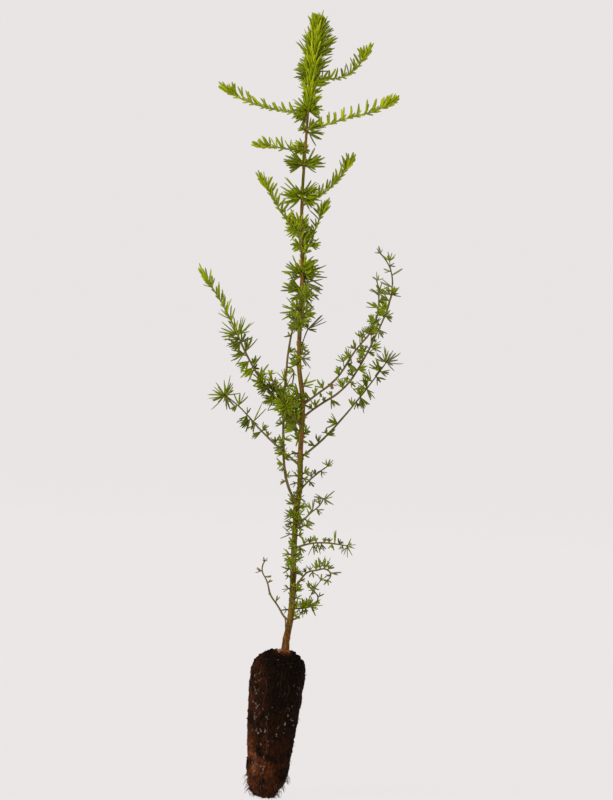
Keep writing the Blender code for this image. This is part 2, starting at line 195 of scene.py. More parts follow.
# Each side branch: the height of its foot (at), its heading in degrees, its length, the rise of its axis
# at even stations and its radius. Some also have green, the share from where it is this year's growth;
# turn, how far the heading turns; tip, the radius of the tip; forks, the share from where side twigs stand
# on it (1 = none); forward, how far its placed tufts lean to the front; shade, the part of the crown whose
# tints it takes; habit, how its new needles stand; spurs, tufts (share, needles, their length in mm).
branches = {
    "upper_right_1": dict(at=0.735, heading=25, length=0.074, rises=(1, 8, 44, 62), radius=0.0009,
        green=0, shade="leader"),
    "upper_left_1": dict(at=0.698, heading=172, length=0.088, rises=(3, 7, 17, 28), radius=0.001, green=0,
        shade="leader", habit="swept"),
    "upper_right_2": dict(at=0.682, heading=-12, length=0.091, rises=(14, 20, 14, 34), radius=0.001,
        green=0, shade="leader"),
    "upper_left_2": dict(at=0.661, heading=-150, length=0.051, rises=(-6, 2, -4), radius=0.0008, green=0,
        shade="leader"),
    "upper_back_1": dict(at=0.657, heading=95, length=0.048, rises=(4, 8, 16), radius=0.0009, green=0),
    "upper_right_3": dict(at=0.604, heading=27, length=0.073, rises=(33, 34, 49, 60), radius=0.001,
        green=0, shade="leader", habit="swept"),
    "upper_left_3": dict(at=0.573, heading=-145, length=0.072, rises=(36, 39, 54, 43), radius=0.001,
        green=0, shade="leader"),
    "upper_back_2": dict(at=0.58, heading=89, length=0.056, rises=(2, 6, 14), radius=0.001, green=0),
    "upper_right_4": dict(at=0.553, heading=46, length=0.06, rises=(48, 70, 52), radius=0.0009,
        green=0.42, spurs=((0.12, 8, 12), (0.24, 8, 13), (0.4, 8, 12))),
    "upper_front_1": dict(at=0.552, heading=-97, length=0.056, rises=(24, 28, 22), radius=0.0009,
        green=0.45, spurs=((0.08, 5, 9), (0.46, 8, 11))),
    "upper_back_3": dict(at=0.532, heading=90, length=0.06, rises=(8, 14, 20), radius=0.001, green=0.72,
        spurs=((0.07, 7, 11), (0.14, 7, 11), (0.64, 8, 11), (0.74, 8, 12))),
    "middle_front_1": dict(at=0.47, heading=-86, length=0.068, rises=(24, 40, 52), radius=0.0012,
        green=0.75, spurs=((0.2, 12, 10), (0.38, 14, 11), (0.6, 16, 11), (0.82, 11, 10))),
    "middle_right_1": dict(at=0.4551, heading=55, length=0.0277, rises=(60, 65, 56), radius=0.0007,
        forks=1),
    "middle_back_1": dict(at=0.45, heading=91, length=0.085, rises=(16, 42, 58), radius=0.0012, green=0.8,
        forks=0.6, spurs=((0.18, 12, 9), (0.3, 14, 9), (0.66, 16, 11), (0.76, 14, 11))),
    "middle_right_2": dict(at=0.4014, heading=-30, length=0.1608, rises=(37, 35, 61, 46, 83, 108),
        radius=0.0012, forks=0.38),
    "middle_right_3": dict(at=0.3881, heading=8, length=0.2059, rises=(44, 33, 60, 67, 69, 90, 139),
        radius=0.0012, forks=0.42),
    "middle_left_1": dict(at=0.382, heading=-165, length=0.1816, rises=(40, 41, 55, 63, 57, 49),
        radius=0.0014, green=0.62, shade="leader", habit="sparse",
        spurs=((0.05, 14, 11), (0.09, 14, 12), (0.13, 16, 12), (0.17, 16, 12), (0.21, 16, 12),
               (0.25, 16, 12), (0.29, 14, 11), (0.33, 12, 10))),
    "middle_front_2": dict(at=0.3779, heading=-119, length=0.0881, rises=(28, 38, 39), radius=0.0011,
        forks=1, forward=0.5),
    "middle_back_2": dict(at=0.36, heading=98, length=0.105, rises=(12, 26, 38), radius=0.0012,
        spurs=((0.15, 12, 11), (0.28, 16, 12), (0.42, 18, 13), (0.56, 18, 13), (0.7, 16, 12),
               (0.85, 16, 12), (1, 20, 13))),
    "middle_right_4": dict(at=0.3478, heading=32, length=0.1423, rises=(33, 46, 50, 53), radius=0.0012,
        forks=1),
    "middle_left_2": dict(at=0.3391, heading=150, length=0.1167, rises=(32, 34, 42, 27), radius=0.0012,
        forks=1),
    "lower_right_1": dict(at=0.3126, heading=40, length=0.0452, rises=(50, 35, 29), radius=0.001,
        forks=1),
    "lower_front_1": dict(at=0.3, heading=-138, turn=80, length=0.2, rises=(42, 76, 80, 80, 62),
        radius=0.0015, tip=0.0009, forks=1, forward=0.7),
    "lower_right_2": dict(at=0.2797, heading=-42, length=0.0469, rises=(12, 45, 31, 67), radius=0.001,
        forks=1),
    "lower_back_1": dict(at=0.272, heading=92, length=0.075, rises=(8, 22, 32), radius=0.001,
        spurs=((0.25, 9, 9), (0.45, 12, 10), (0.62, 14, 10), (0.8, 12, 10), (1, 14, 11))),
    "lower_right_3": dict(at=0.2541, heading=-18, length=0.0579, rises=(30, 13, -2, -5), radius=0.0011,
        forks=1),
    "lower_front_2": dict(at=0.233, heading=-91, length=0.062, rises=(10, 24, 34), radius=0.001, forks=1,
        spurs=((0.3, 9, 9), (0.55, 12, 9), (0.78, 12, 8), (1, 10, 8))),
    "lower_right_4": dict(at=0.2143, heading=-35, length=0.0627, rises=(30, 56, 46, 8, 20, -31, -157),
        radius=0.0011, forks=1),
    "lower_back_2": dict(at=0.205, heading=87, length=0.058, rises=(8, 22, 34), radius=0.0009, forks=1,
        spurs=((0.3, 8, 8), (0.6, 10, 8), (1, 10, 8))),
    "lower_right_5": dict(at=0.1926, heading=20, length=0.0476, rises=(13, 1, 19, 48, 138, 146),
        radius=0.001),
    "lower_left_1": dict(at=0.1806, heading=140, length=0.0743, rises=(11, 53, 37, 73, 45, 127),
        radius=0.0011, forks=1),
}
# Tufts of older wood that point a given way: share of the branch, the way in the front plane in degrees
# (0 = right, 90 = up), needles, their length in mm, half opening in degrees, tint or None.
placedTufts = {
    "lower_front_1": (
        (0.15, 190, 4, 6, 34, "olive"), (0.17, 50, 5, 7, 34, "leaf"), (0.21, 175, 5, 5, 50, "leaf"),
        (0.24, 180, 7, 9, 50, "leaf"), (0.27, 20, 7, 8, 45, "olive"), (0.29, 165, 8, 8, 50, "leaf"),
        (0.31, -40, 7, 7, 60, "fresh"), (0.33, 180, 8, 9, 50, "olive"), (0.35, 140, 8, 8, 45, "leaf"),
        (0.37, 10, 7, 8, 50, "leaf"), (0.42, 40, 7, 8, 45, "leaf"), (0.45, 170, 7, 8, 45, "olive"),
        (0.5, 110, 8, 9, 60, "leaf"), (0.53, 10, 8, 10, 50, "fresh"), (0.56, 160, 8, 10, 50, "leaf"),
        (0.59, 60, 8, 10, 60, "fresh"), (0.62, 175, 8, 10, 50, "leaf"), (0.64, 20, 8, 10, 50, "leaf"),
        (0.67, 130, 8, 9, 60, "fresh"), (0.71, 20, 6, 8, 40, "fresh"), (0.81, 50, 6, 9, 30, "olive"),
        (0.9, 160, 3, 6, 30, "olive"), (1, 90, 6, 8, 60, "leaf"),
    ),
    "middle_left_1": (
        (0.05, 250, 6, 10, 40, "olive"), (0.08, 95, 9, 15, 34, "leaf"), (0.12, -92, 8, 18, 30, "olive"),
        (0.15, 190, 7, 14, 30, "olive"), (0.17, 88, 6, 18, 20, "leaf"), (0.2, 60, 7, 12, 40, None),
        (0.22, 215, 7, 12, 34, "deep"), (0.25, 50, 7, 13, 34, "leaf"), (0.25, -80, 6, 12, 34, "olive"),
        (0.28, 195, 6, 10, 34, "olive"), (0.32, -60, 6, 10, 40, "deep"), (0.33, 105, 7, 12, 34, "leaf"),
        (0.33, 185, 6, 10, 34, "leaf"), (0.37, 40, 7, 12, 38, "leaf"), (0.43, 236, 7, 15, 30, "fresh"),
        (0.41, 208, 7, 13, 34, "leaf"), (0.43, 57, 2, 13, 12, "olive"), (0.5, 170, 4, 15, 24, "leaf"),
        (0.47, 224, 7, 14, 30, "leaf"), (0.52, 202, 8, 15, 30, "olive"), (0.52, 78, 7, 15, 32, "olive"),
        (0.58, 188, 7, 14, 30, "olive"), (0.59, 238, 7, 13, 30, "olive"), (0.63, 172, 8, 18, 34, "leaf"),
        (0.58, 60, 5, 14, 30, "deep"), (0.62, 72, 8, 17, 32, "leaf"), (0.6, 190, 5, 16, 26, "deep"),
        (0.63, 36, 2, 19, 12, "fresh"), (0.72, 142, 3, 13, 16, "fresh"), (0.8, 90, 2, 16, 10, "fresh"),
        (0.85, 97, 2, 16, 9, "leaf"), (0.93, 84, 2, 12, 12, "leaf"), (0.93, 160, 2, 8, 16, "fresh"),
    ),
    "middle_left_2": (
        (0.12, 150, 5, 6, 40, "olive"), (0.2, 190, 6, 7, 40, "deep"), (0.25, 60, 5, 6, 40, "olive"),
        (0.32, 90, 7, 7, 50, "deep"), (0.42, 80, 4, 6, 50, "olive"), (0.5, 212, 5, 13, 26, "olive"),
        (0.5, 48, 5, 8, 40, "olive"), (0.62, 65, 3, 17, 14, "leaf"), (0.65, -60, 3, 8, 30, "deep"),
        (0.6, 246, 5, 9, 32, "olive"), (0.66, 226, 7, 15, 26, "deep"), (0.71, 244, 7, 13, 32, "olive"),
        (0.72, 60, 3, 6, 30, "olive"), (0.83, 80, 5, 14, 32, "leaf"), (0.85, 230, 4, 9, 30, "olive"),
        (0.93, 200, 3, 8, 40, "olive"), (0.98, 90, 4, 12, 40, "leaf"), (1, 150, 11, 19, 60, "leaf"),
        (1, 200, 5, 20, 28, "olive"), (1, -80, 4, 15, 30, "grey"), (1, 40, 4, 14, 30, "olive"),
    ),
    "middle_front_2": (
        (0.13, 110, 7, 11, 44, "leaf"), (0.27, 230, 6, 11, 38, "olive"), (0.4, 60, 7, 12, 44, "leaf"),
        (0.45, 206, 8, 14, 40, "leaf"), (0.46, 150, 8, 12, 50, "fresh"), (0.52, 185, 6, 12, 40, "leaf"),
        (0.63, 80, 7, 12, 44, "leaf"), (0.77, -50, 6, 9, 40, "deep"), (0.88, 150, 6, 9, 40, "leaf"),
        (1, 90, 6, 7, 80, "fresh"),
    ),
    "middle_right_1": (
        (0.4, 170, 4, 5, 40, "olive"), (1, 38, 5, 19, 16, "grey"), (1, -10, 3, 9, 26, "olive"),
        (1, 110, 4, 7, 40, "olive"),
    ),
    "middle_right_2": (
        (0.07, 150, 6, 8, 34, "olive"), (0.1, 88, 6, 8, 38, "leaf"), (0.15, -80, 4, 5, 45, "olive"),
        (0.18, 120, 7, 9, 34, "leaf"), (0.25, -90, 7, 6, 60, "faded"), (0.32, 115, 5, 7, 38, "leaf"),
        (0.36, 140, 4, 6, 36, "olive"), (0.4, 30, 5, 6, 45, "deep"), (0.45, 125, 12, 10, 48, "leaf"),
        (0.52, 130, 7, 9, 38, "olive"), (0.53, -40, 5, 6, 45, "leaf"), (0.57, -50, 4, 7, 34, "olive"),
        (0.58, 90, 2, 14, 8, "leaf"), (0.62, 142, 4, 9, 26, "grey"), (0.65, 100, 10, 10, 44, "olive"),
        (0.7, -20, 6, 7, 45, "leaf"), (0.72, 80, 8, 9, 44, "deep"), (0.75, 160, 7, 8, 40, "leaf"),
        (0.8, 50, 12, 10, 50, "leaf"), (0.83, 152, 8, 11, 30, "leaf"), (0.87, 10, 6, 6, 45, "olive"),
        (0.9, 95, 5, 8, 38, "grey"), (0.92, 160, 3, 9, 20, "pale"), (0.93, 0, 3, 9, 20, "olive"),
        (1, 80, 6, 7, 70, "pale"),
    ),
    "middle_right_3": (
        (0.07, 150, 5, 6, 40, "olive"), (0.08, 92, 7, 9, 38, "leaf"), (0.13, 80, 5, 5, 50, "olive"),
        (0.17, -50, 6, 11, 26, "olive"), (0.18, 110, 6, 7, 40, "leaf"), (0.25, 110, 9, 10, 38, "leaf"),
        (0.3, -40, 5, 6, 45, "olive"), (0.33, 130, 6, 7, 40, "olive"), (0.37, 172, 8, 9, 38, "leaf"),
        (0.37, 8, 8, 9, 38, "leaf"), (0.4, 112, 6, 8, 34, "faded"), (0.45, 150, 7, 9, 32, "leaf"),
        (0.47, 0, 6, 7, 45, "olive"), (0.5, 2, 9, 10, 38, "leaf"), (0.57, 130, 8, 10, 36, "leaf"),
        (0.6, -60, 6, 9, 34, "grey"), (0.62, 160, 6, 7, 40, "olive"), (0.67, 150, 8, 10, 34, "leaf"),
        (0.67, -10, 6, 9, 32, "olive"), (0.7, 120, 9, 10, 38, "leaf"), (0.75, 160, 7, 11, 24, "leaf"),
        (0.78, 150, 7, 10, 30, "leaf"), (0.78, 20, 5, 9, 30, "deep"), (0.82, 155, 2, 12, 12, "pale"),
        (0.88, 35, 2, 12, 12, "pale"), (0.9, 180, 3, 7, 26, "pale"), (0.93, 0, 2, 6, 30, "grey"),
        (1, 130, 5, 7, 60, "pale"),
    ),
    "middle_right_4": (
        (0.15, 165, 5, 7, 34, "olive"), (0.18, 92, 4, 8, 24, "grey"), (0.27, 22, 6, 9, 30, "olive"),
        (0.28, 120, 4, 6, 45, "leaf"), (0.4, 170, 10, 11, 38, "leaf"), (0.57, 95, 5, 8, 28, "leaf"),
        (0.62, -70, 5, 7, 40, "deep"), (0.67, -70, 8, 12, 34, "olive"), (0.67, -75, 2, 17, 8, "grey"),
        (0.67, 102, 7, 11, 34, "leaf"), (0.75, 175, 5, 12, 24, "leaf"), (0.75, 100, 5, 11, 26, "olive"),
        (0.75, -60, 5, 11, 26, "olive"), (0.82, 150, 9, 11, 34, "leaf"), (0.87, -40, 6, 9, 36, "deep"),
        (0.92, 132, 8, 13, 34, "leaf"), (0.96, 196, 6, 10, 40, "olive"), (0.92, -20, 5, 9, 30, "olive"),
        (1, 55, 14, 17, 100, "grey"), (1, 110, 6, 14, 50, "leaf"),
    ),
    "lower_right_1": (
        (0.18, 130, 6, 7, 44, "leaf"), (0.38, -60, 6, 7, 40, "olive"), (0.47, 110, 5, 6, 44, "olive"),
        (0.58, 80, 5, 6, 44, "deep"), (0.78, -50, 4, 6, 44, "olive"), (1, 80, 10, 8, 95, "leaf"),
    ),
    "lower_right_2": (
        (0.23, 145, 4, 6, 30, "olive"), (0.3, -40, 5, 10, 30, "olive"), (0.43, 80, 5, 6, 44, "leaf"),
        (0.57, 123, 3, 12, 12, "leaf"), (0.57, 86, 2, 11, 10, "grey"), (0.7, -50, 5, 8, 40, "deep"),
        (0.83, 110, 5, 7, 40, "olive"), (1, -20, 7, 13, 58, "olive"), (1, 165, 4, 9, 28, "grey"),
    ),
    "lower_right_3": (
        (0.12, -80, 7, 10, 50, "olive"), (0.2, 90, 6, 6, 50, "leaf"), (0.3, 80, 7, 6, 55, "deep"),
        (0.38, -88, 4, 11, 26, "olive"), (0.43, 100, 7, 6, 55, "leaf"), (0.52, -70, 4, 9, 30, "deep"),
        (0.46, -92, 6, 10, 40, "olive"), (0.57, 80, 7, 5, 60, "leaf"), (0.67, 95, 7, 5, 55, "olive"),
        (0.72, -90, 5, 6, 50, "leaf"), (0.77, 90, 2, 13, 6, "leaf"), (0.85, 80, 6, 6, 55, "deep"),
        (0.92, -100, 5, 7, 45, "olive"), (1, -70, 8, 11, 105, "olive"), (1, 40, 4, 8, 40, "leaf"),
    ),
    "lower_right_4": (
        (0.18, 20, 3, 5, 40, "olive"), (0.28, 130, 4, 7, 36, "olive"), (0.37, 120, 4, 5, 44, "deep"),
        (0.45, 100, 4, 6, 44, "olive"), (0.5, -84, 5, 7, 44, "olive"), (0.57, 90, 6, 9, 38, "leaf"),
        (0.65, 96, 6, 11, 40, "olive"), (0.73, 80, 7, 11, 38, "leaf"), (0.8, 55, 6, 7, 44, "olive"),
        (0.87, -10, 4, 10, 22, "grey"), (0.9, 200, 3, 5, 44, "deep"), (1, -110, 6, 7, 70, "olive"),
    ),
    "lower_right_5": (
        (0.13, 120, 8, 9, 46, "fresh"), (0.18, -100, 5, 6, 50, "leaf"), (0.22, 70, 8, 8, 50, "leaf"),
        (0.27, 90, 12, 10, 56, "fresh"), (0.26, -92, 6, 8, 46, "olive"), (0.32, -70, 7, 6, 50, "olive"),
        (0.34, 110, 9, 9, 50, "leaf"), (0.4, 80, 10, 9, 56, "leaf"), (0.43, -20, 6, 7, 50, "fresh"),
        (0.45, -55, 3, 9, 18, "olive"), (0.57, 20, 3, 5, 50, "olive"), (0.72, 30, 3, 5, 50, "deep"),
        (0.9, 150, 3, 5, 50, "olive"), (1, 120, 4, 6, 60, "leaf"),
    ),
    "lower_left_1": (
        (0.37, 65, 3, 6, 26, "olive"), (0.52, 180, 0, 3, 0, None), (0.68, 35, 2, 5, 20, "olive"),
        (0.78, 0, 2, 8, 12, "grey"), (0.87, 180, 4, 6, 40, "faded"), (1, 80, 5, 5, 70, "faded"),
    ),
}
branchMake = dict(
    steps=60,  # stations of its axis
    tip=0.0006,  # radius of the tip, where the branch gives none
    taper=0.8,  # less than 1 keeps it thick for longer
    ahead=0.02,  # share of it that its direction is taken over
)


def stemCentre(height):
    x, y, _ = smoothRow(stemRows, height)
    return Vector((x, y, height))


def stemRadius(height):
    return smoothRow(stemRows, height)[2] * barkShare


def branchPath(branch):
    point = stemCentre(branch["at"])
    path, steps = [point], branchMake["steps"]
    for step in range(steps):
        share = (step + 0.5) / steps
        way = heading(branch["heading"] + branch.get("turn", 0) * share, between(branch["rises"], share))
        point = point + way * (branch["length"] / steps)
        path.append(point)
    return path


def branchRadius(branch, share):
    tip = branch.get("tip", branchMake["tip"])
    return tip + (branch["radius"] - tip) * (1 - share) ** branchMake["taper"]


def onPath(path, share):
    # a point of the path, and the way that the path runs there
    ahead = branchMake["ahead"]
    way = between(path, min(share + ahead, 1)) - between(path, max(share - ahead, 0))
    return between(path, share), way.normalized()


# Base colours of the needles, dealt out by tuft.
tints = {
    "lime": (0.440, 0.500, 0.014),
    "fresh": (0.300, 0.365, 0.007),
    "leaf": (0.222, 0.284, 0.009),
    "olive": (0.160, 0.193, 0.013),
    "deep": (0.103, 0.143, 0.010),
    "grey": (0.190, 0.195, 0.075),
    "faded": (0.230, 0.175, 0.055),
    "pale": (0.300, 0.320, 0.140),
}
# Which tints each part of the crown has, and how much of each.
palettes = {
    "leader": dict(lime=4, fresh=7, leaf=1),
    "upper": dict(lime=2, fresh=5, leaf=4, olive=1),
    "middle": dict(fresh=2, leaf=5, olive=3, deep=2, grey=0.5),
    "lower": dict(fresh=1, leaf=5, olive=4, deep=2, grey=0.6, faded=0.3),
}
needleShape = dict(
    rings=(0.0, 0.07, 0.26, 0.52, 0.78, 0.93),  # shares of the length where its rings stand
    widths=(0.45, 0.80, 1.0, 1.0, 0.88, 0.58),  # half width there, as a share of the widest
    top=0.36,  # how high its back stands, in half widths
    keel=0.78,  # how deep its keel is, in half widths
    wide=dict(leader=0.00122, upper=0.00118, middle=0.00098, lower=0.00080),  # half widths
)
needleRows = {}  # (part of the crown, tint) -> one row for each needle


def addNeedle(crown, tint, base, aim, bend, face, length, wide=1):
    half = needleShape["wide"][crown] * wide
    needleRows.setdefault((crown, tint), []).append((*base, *aim, *bend, *face, length, half))


def needleParts(rows):
    # every needle of the rows as one mesh: rings of four corners along a bent axis, and a pointed tip
    rows = np.array(rows)
    base, aim, bend, face = (rows[:, None, start:start + 3] for start in (0, 3, 6, 9))
    length, half = rows[:, 12][:, None, None], rows[:, 13][:, None, None]
    share = np.array(needleShape["rings"])[None, :, None]
    wide = np.array(needleShape["widths"])[None, :, None] * half
    axis = base + length * (aim * share + bend * share**2)
    ahead = aim + 2 * bend * share
    ahead /= np.linalg.norm(ahead, axis=2, keepdims=True)
    side = np.cross(ahead, face)
    side /= np.maximum(np.linalg.norm(side, axis=2, keepdims=True), 1e-9)
    back = np.cross(side, ahead)
    corners = np.stack([
        axis + side * wide, axis + back * wide * needleShape["top"],
        axis - side * wide, axis - back * wide * needleShape["keel"],
    ], axis=2)
    tip = base[:, 0] + length[:, 0] * (aim[:, 0] + bend[:, 0])
    rings = len(needleShape["rings"])
    points = np.concatenate([corners.reshape(len(rows), rings * 4, 3), tip[:, None]], axis=1)
    start = (np.arange(len(rows)) * (rings * 4 + 1))[:, None, None]
    quads = [(3, 2, 1, 0)]
    for ring in range(rings - 1):
        for side in range(4):
            near, far = ring * 4 + side, ring * 4 + (side + 1) % 4
            quads.append((near, far, far + 4, near + 4))
    last = (rings - 1) * 4
    triangles = [(last + side, last + (side + 1) % 4, rings * 4) for side in range(4)]
    quads = (start + np.array(quads)).reshape(-1, 4)
    triangles = (start + np.array(triangles)).reshape(-1, 3)
    return points.reshape(-1, 3), quads, triangles


def pickTint(crown, chance):
    palette = palettes[crown]
    return chance.choices(list(palette), list(palette.values()))[0]


tuftHabit = dict(
    open=84,  # half opening in degrees
    round=0.6,  # less than 1 puts more of the needles near the rim
    curl=0.16,  # how far needles bend towards the tuft's axis, and lift upwards
    lift=0.10,
    sizes=(0.45, 1.08),  # shortest and longest, as shares of the tuft's length
    twist=1.2,
    sunk=0.0003,  # how deep a needle's base sits in the spur
    fuller=dict(leader=1.45, upper=1.2, middle=1.0, lower=0.88),  # for tufts of more than three
)


def growTuft(crown, place, aim, count, length, chance, tint=None, open=None):
    # a rosette of needles from one spur: steep ones in the middle, flat ones round the rim
    tint = tint or pickTint(crown, chance)
    first, second = across(aim)
    start = chance.uniform(0, 2 * pi)
    count = ceil(count * tuftHabit["fuller"][crown]) if count > 3 else count
    shortest, longest = tuftHabit["sizes"]
    for number in range(count):
        turn = start + goldenTurn * number + either(chance, 0.3)
        share = (number + 0.5) / count
        fan = radians(open or tuftHabit["open"]) * share ** tuftHabit["round"] * chance.uniform(0.85, 1.12)
        out = around(first, second, turn)
        way = tilted(aim, out, fan)
        bend = aim * tuftHabit["curl"] * sin(fan) + upward * tuftHabit["lift"] * chance.uniform(-0.6, 1.4)
        size = length * chance.triangular(shortest, longest, 1.0)
        twist = way.cross(aim) * either(chance, tuftHabit["twist"])
        face = aim + twist + out * 0.01
        addNeedle(crown, tint, place - way * tuftHabit["sunk"], way, bend, face, size)


spurShape = dict(
    sides=8,
    profile=((0, 1), (0.25, 1.12), (0.38, 0.92), (0.55, 1.15), (0.7, 0.95), (0.88, 1.05), (1, 0.55)),
)  # profile: share of its length, and width there
spurParts = []


def growSpur(crown, place, aim, length, radius, count, needle, chance, tint=None, open=None):
    # a spur with its tuft of needles, whose length is in mm
    path = [place + aim * (length * share) for share, _ in spurShape["profile"]]
    radii = [radius * wide for _, wide in spurShape["profile"]]
    spurParts.append(tube(path, radii, spurShape["sides"]))
    growTuft(crown, place + aim * length, aim, count, needle / 1000, chance, tint, open)


# How this year's needles stand on a twig: tall pairs along its upper side, low ones all round, a bunch at
# the tip. every and reach are distances along the twig; leans, apart and open are degrees.
lowNeedles = dict(every=0.0022, leans=(34, 30, 26), lengths=(0.0055, 0.0065, 0.0080), wide=0.72)
tipBunch = dict(count=16, reach=0.010, open=(8, 62), lengths=(0.0105, 0.0135))
habits = dict(
    upright=dict(
        tall=dict(every=0.0080, wide=1, apart=22, leans=(64, 64, 62, 58, 50),
                  lengths=(0.0115, 0.0125, 0.0130, 0.0140, 0.0140)),
        low=lowNeedles, tip=tipBunch,
    ),
    swept=dict(
        tall=dict(every=0.0094, wide=0.9, apart=26, leans=(46, 42, 30, 40, 48),
                  lengths=(0.0125, 0.0135, 0.0160, 0.0170, 0.0175)),
        low=lowNeedles, tip=tipBunch,
    ),
    sparse=dict(
        tall=dict(every=0.0100, wide=0.8, apart=40, leans=(36, 34, 32, 28, 24),
                  lengths=(0.0160, 0.0165, 0.0160, 0.0150, 0.0130)),
        low=dict(every=0.0036, leans=(30, 28, 24), lengths=(0.0050, 0.0060, 0.0075), wide=0.7),
        tip=dict(count=10, reach=0.010, open=(8, 42), lengths=(0.0105, 0.0145)),
    ),
)
singleCurl = dict(
    tall=0.20,  # how far a tall needle bends back over the twig
    low=0.10,  # how far the others bend upwards
    turned=0.8,  # how far their flat sides turn from square
    step=0.0007,  # how far the two of a pair stand apart along the twig
)


def growTall(crown, shade, path, length, start, chance, tall, last):
    reach = start * length + tall["every"] * 0.6
    while reach < last:
        place, along = onPath(path, reach / length)
        inner = (reach / length - start) / (1 - start)
        first, second = across(along)
        tint = pickTint(shade, chance)
        for side in (-1, 1):
            out = around(first, second, radians(side * tall["apart"] * chance.uniform(0.4, 1.4)))
            way = tilted(along, out, radians(between(tall["leans"], inner) * chance.uniform(0.85, 1.12)))
            size = between(tall["lengths"], inner) * chance.uniform(0.80, 1.10)
            bend = (first * 0.5 - along) * singleCurl["tall"] * chance.uniform(0.2, 1.2)
            face = second + along * either(chance, singleCurl["turned"])
            foot = place + along * side * singleCurl["step"]
            addNeedle(crown, tint, foot, way, bend, face, size, tall["wide"])
        reach += tall["every"] * chance.uniform(0.85, 1.15)


def growLow(crown, shade, path, length, start, chance, low):
    reach, number = start * length, 0
    while reach < length:
        place, along = onPath(path, reach / length)
        inner = (reach / length - start) / (1 - start)
        first, second = across(along)
        out = around(first, second, goldenTurn * number + either(chance, 0.3))
        way = tilted(along, out, radians(between(low["leans"], inner) * chance.uniform(0.8, 1.3)))
        if number % 4 == 0:
            tint = pickTint(shade, chance)
        size = between(low["lengths"], inner) * chance.uniform(0.75, 1.15)
        addNeedle(crown, tint, place, way, upward * singleCurl["low"], second, size, low["wide"])
        number += 1
        reach += low["every"] * chance.uniform(0.7, 1.3)


def growSingles(crown, shade, path, length, start, chance, habit):
    tip = habit["tip"]
    growTall(crown, shade, path, length, start, chance, habit["tall"], length - tip["reach"] * 0.35)
    growLow(crown, shade, path, length, start, chance, habit["low"])
    for number in range(tip["count"]):
        share = (number + 0.5) / tip["count"]
        place, along = onPath(path, 1 - tip["reach"] * share / length)
        first, second = across(along)
        turn = goldenTurn * number
        fan = radians(between(tip["open"], share) * chance.uniform(0.75, 1.25))
        out = first * (cos(turn) * 0.7 + 0.45) + second * sin(turn) * 0.8  # flattened, and mostly above
        size = chance.uniform(*tip["lengths"])
        face = second + along * either(chance, singleCurl["turned"])
        way = tilted(along, out, fan).normalized()
        addNeedle(crown, pickTint(shade, chance), place, way, upward * singleCurl["low"], face, size)


# The leader's needles: height, needle length in mm, lean from the stem in degrees.
leaderRows = (
    (0.7, 10, 46), (0.708, 12, 40), (0.722, 15, 42), (0.74, 16, 44), (0.756, 18, 40), (0.772, 19, 36),
    (0.78, 19, 32), (0.787, 16, 27),
)
leaderHabit = dict(
    spacing=0.00032,  # height from one needle to the next
    curl=0.14,  # how far they bend upwards, and in towards the stem
    hug=0.08,
    tipCount=44, tipOpen=44, tipReach=0.006, tipLengths=(0.0115, 0.0160),
    bunchOpen=24,
)
# Bunches that stand out of the leader: height, heading, needles, their length in mm, rise, tint or None.
leaderBunches = (
    (0.783, -4, 4, 17, 52, "leaf"), (0.777, 6, 5, 20, 44, "leaf"), (0.772, -10, 5, 20, 38, "leaf"),
    (0.766, 4, 6, 23, 36, "olive"), (0.757, -4, 7, 22, 32, "olive"), (0.728, -5, 6, 20, 14, "leaf"),
    (0.748, 6, 6, 20, 30, "leaf"), (0.765, 0, 7, 25, 34, "leaf"), (0.789, 180, 5, 14, 76, "fresh"),
    (0.787, 176, 5, 15, 64, "leaf"), (0.755, 180, 5, 24, 54, "leaf"), (0.741, -8, 5, 17, 26, "olive"),
    (0.776, 100, 5, 17, 46, None), (0.762, 76, 5, 17, 40, None), (0.746, 110, 5, 17, 34, None),
    (0.764, 184, 4, 20, 54, "leaf"), (0.756, 176, 4, 16, 44, None), (0.748, 190, 5, 16, 36, None),
    (0.741, 176, 5, 18, 24, "leaf"), (0.736, 188, 6, 18, 6, "olive"), (0.735, 160, 4, 15, -2, "leaf"),
    (0.728, 178, 4, 12, 30, None), (0.722, 190, 5, 12, 32, None), (0.714, 172, 4, 9, 30, "leaf"),
    (0.727, 0, 5, 17, 22, None), (0.719, 10, 4, 15, 30, "leaf"), (0.711, -6, 4, 14, 24, None),
    (0.716, 96, 5, 12, 20, None), (0.731, 84, 5, 14, 24, None),
)
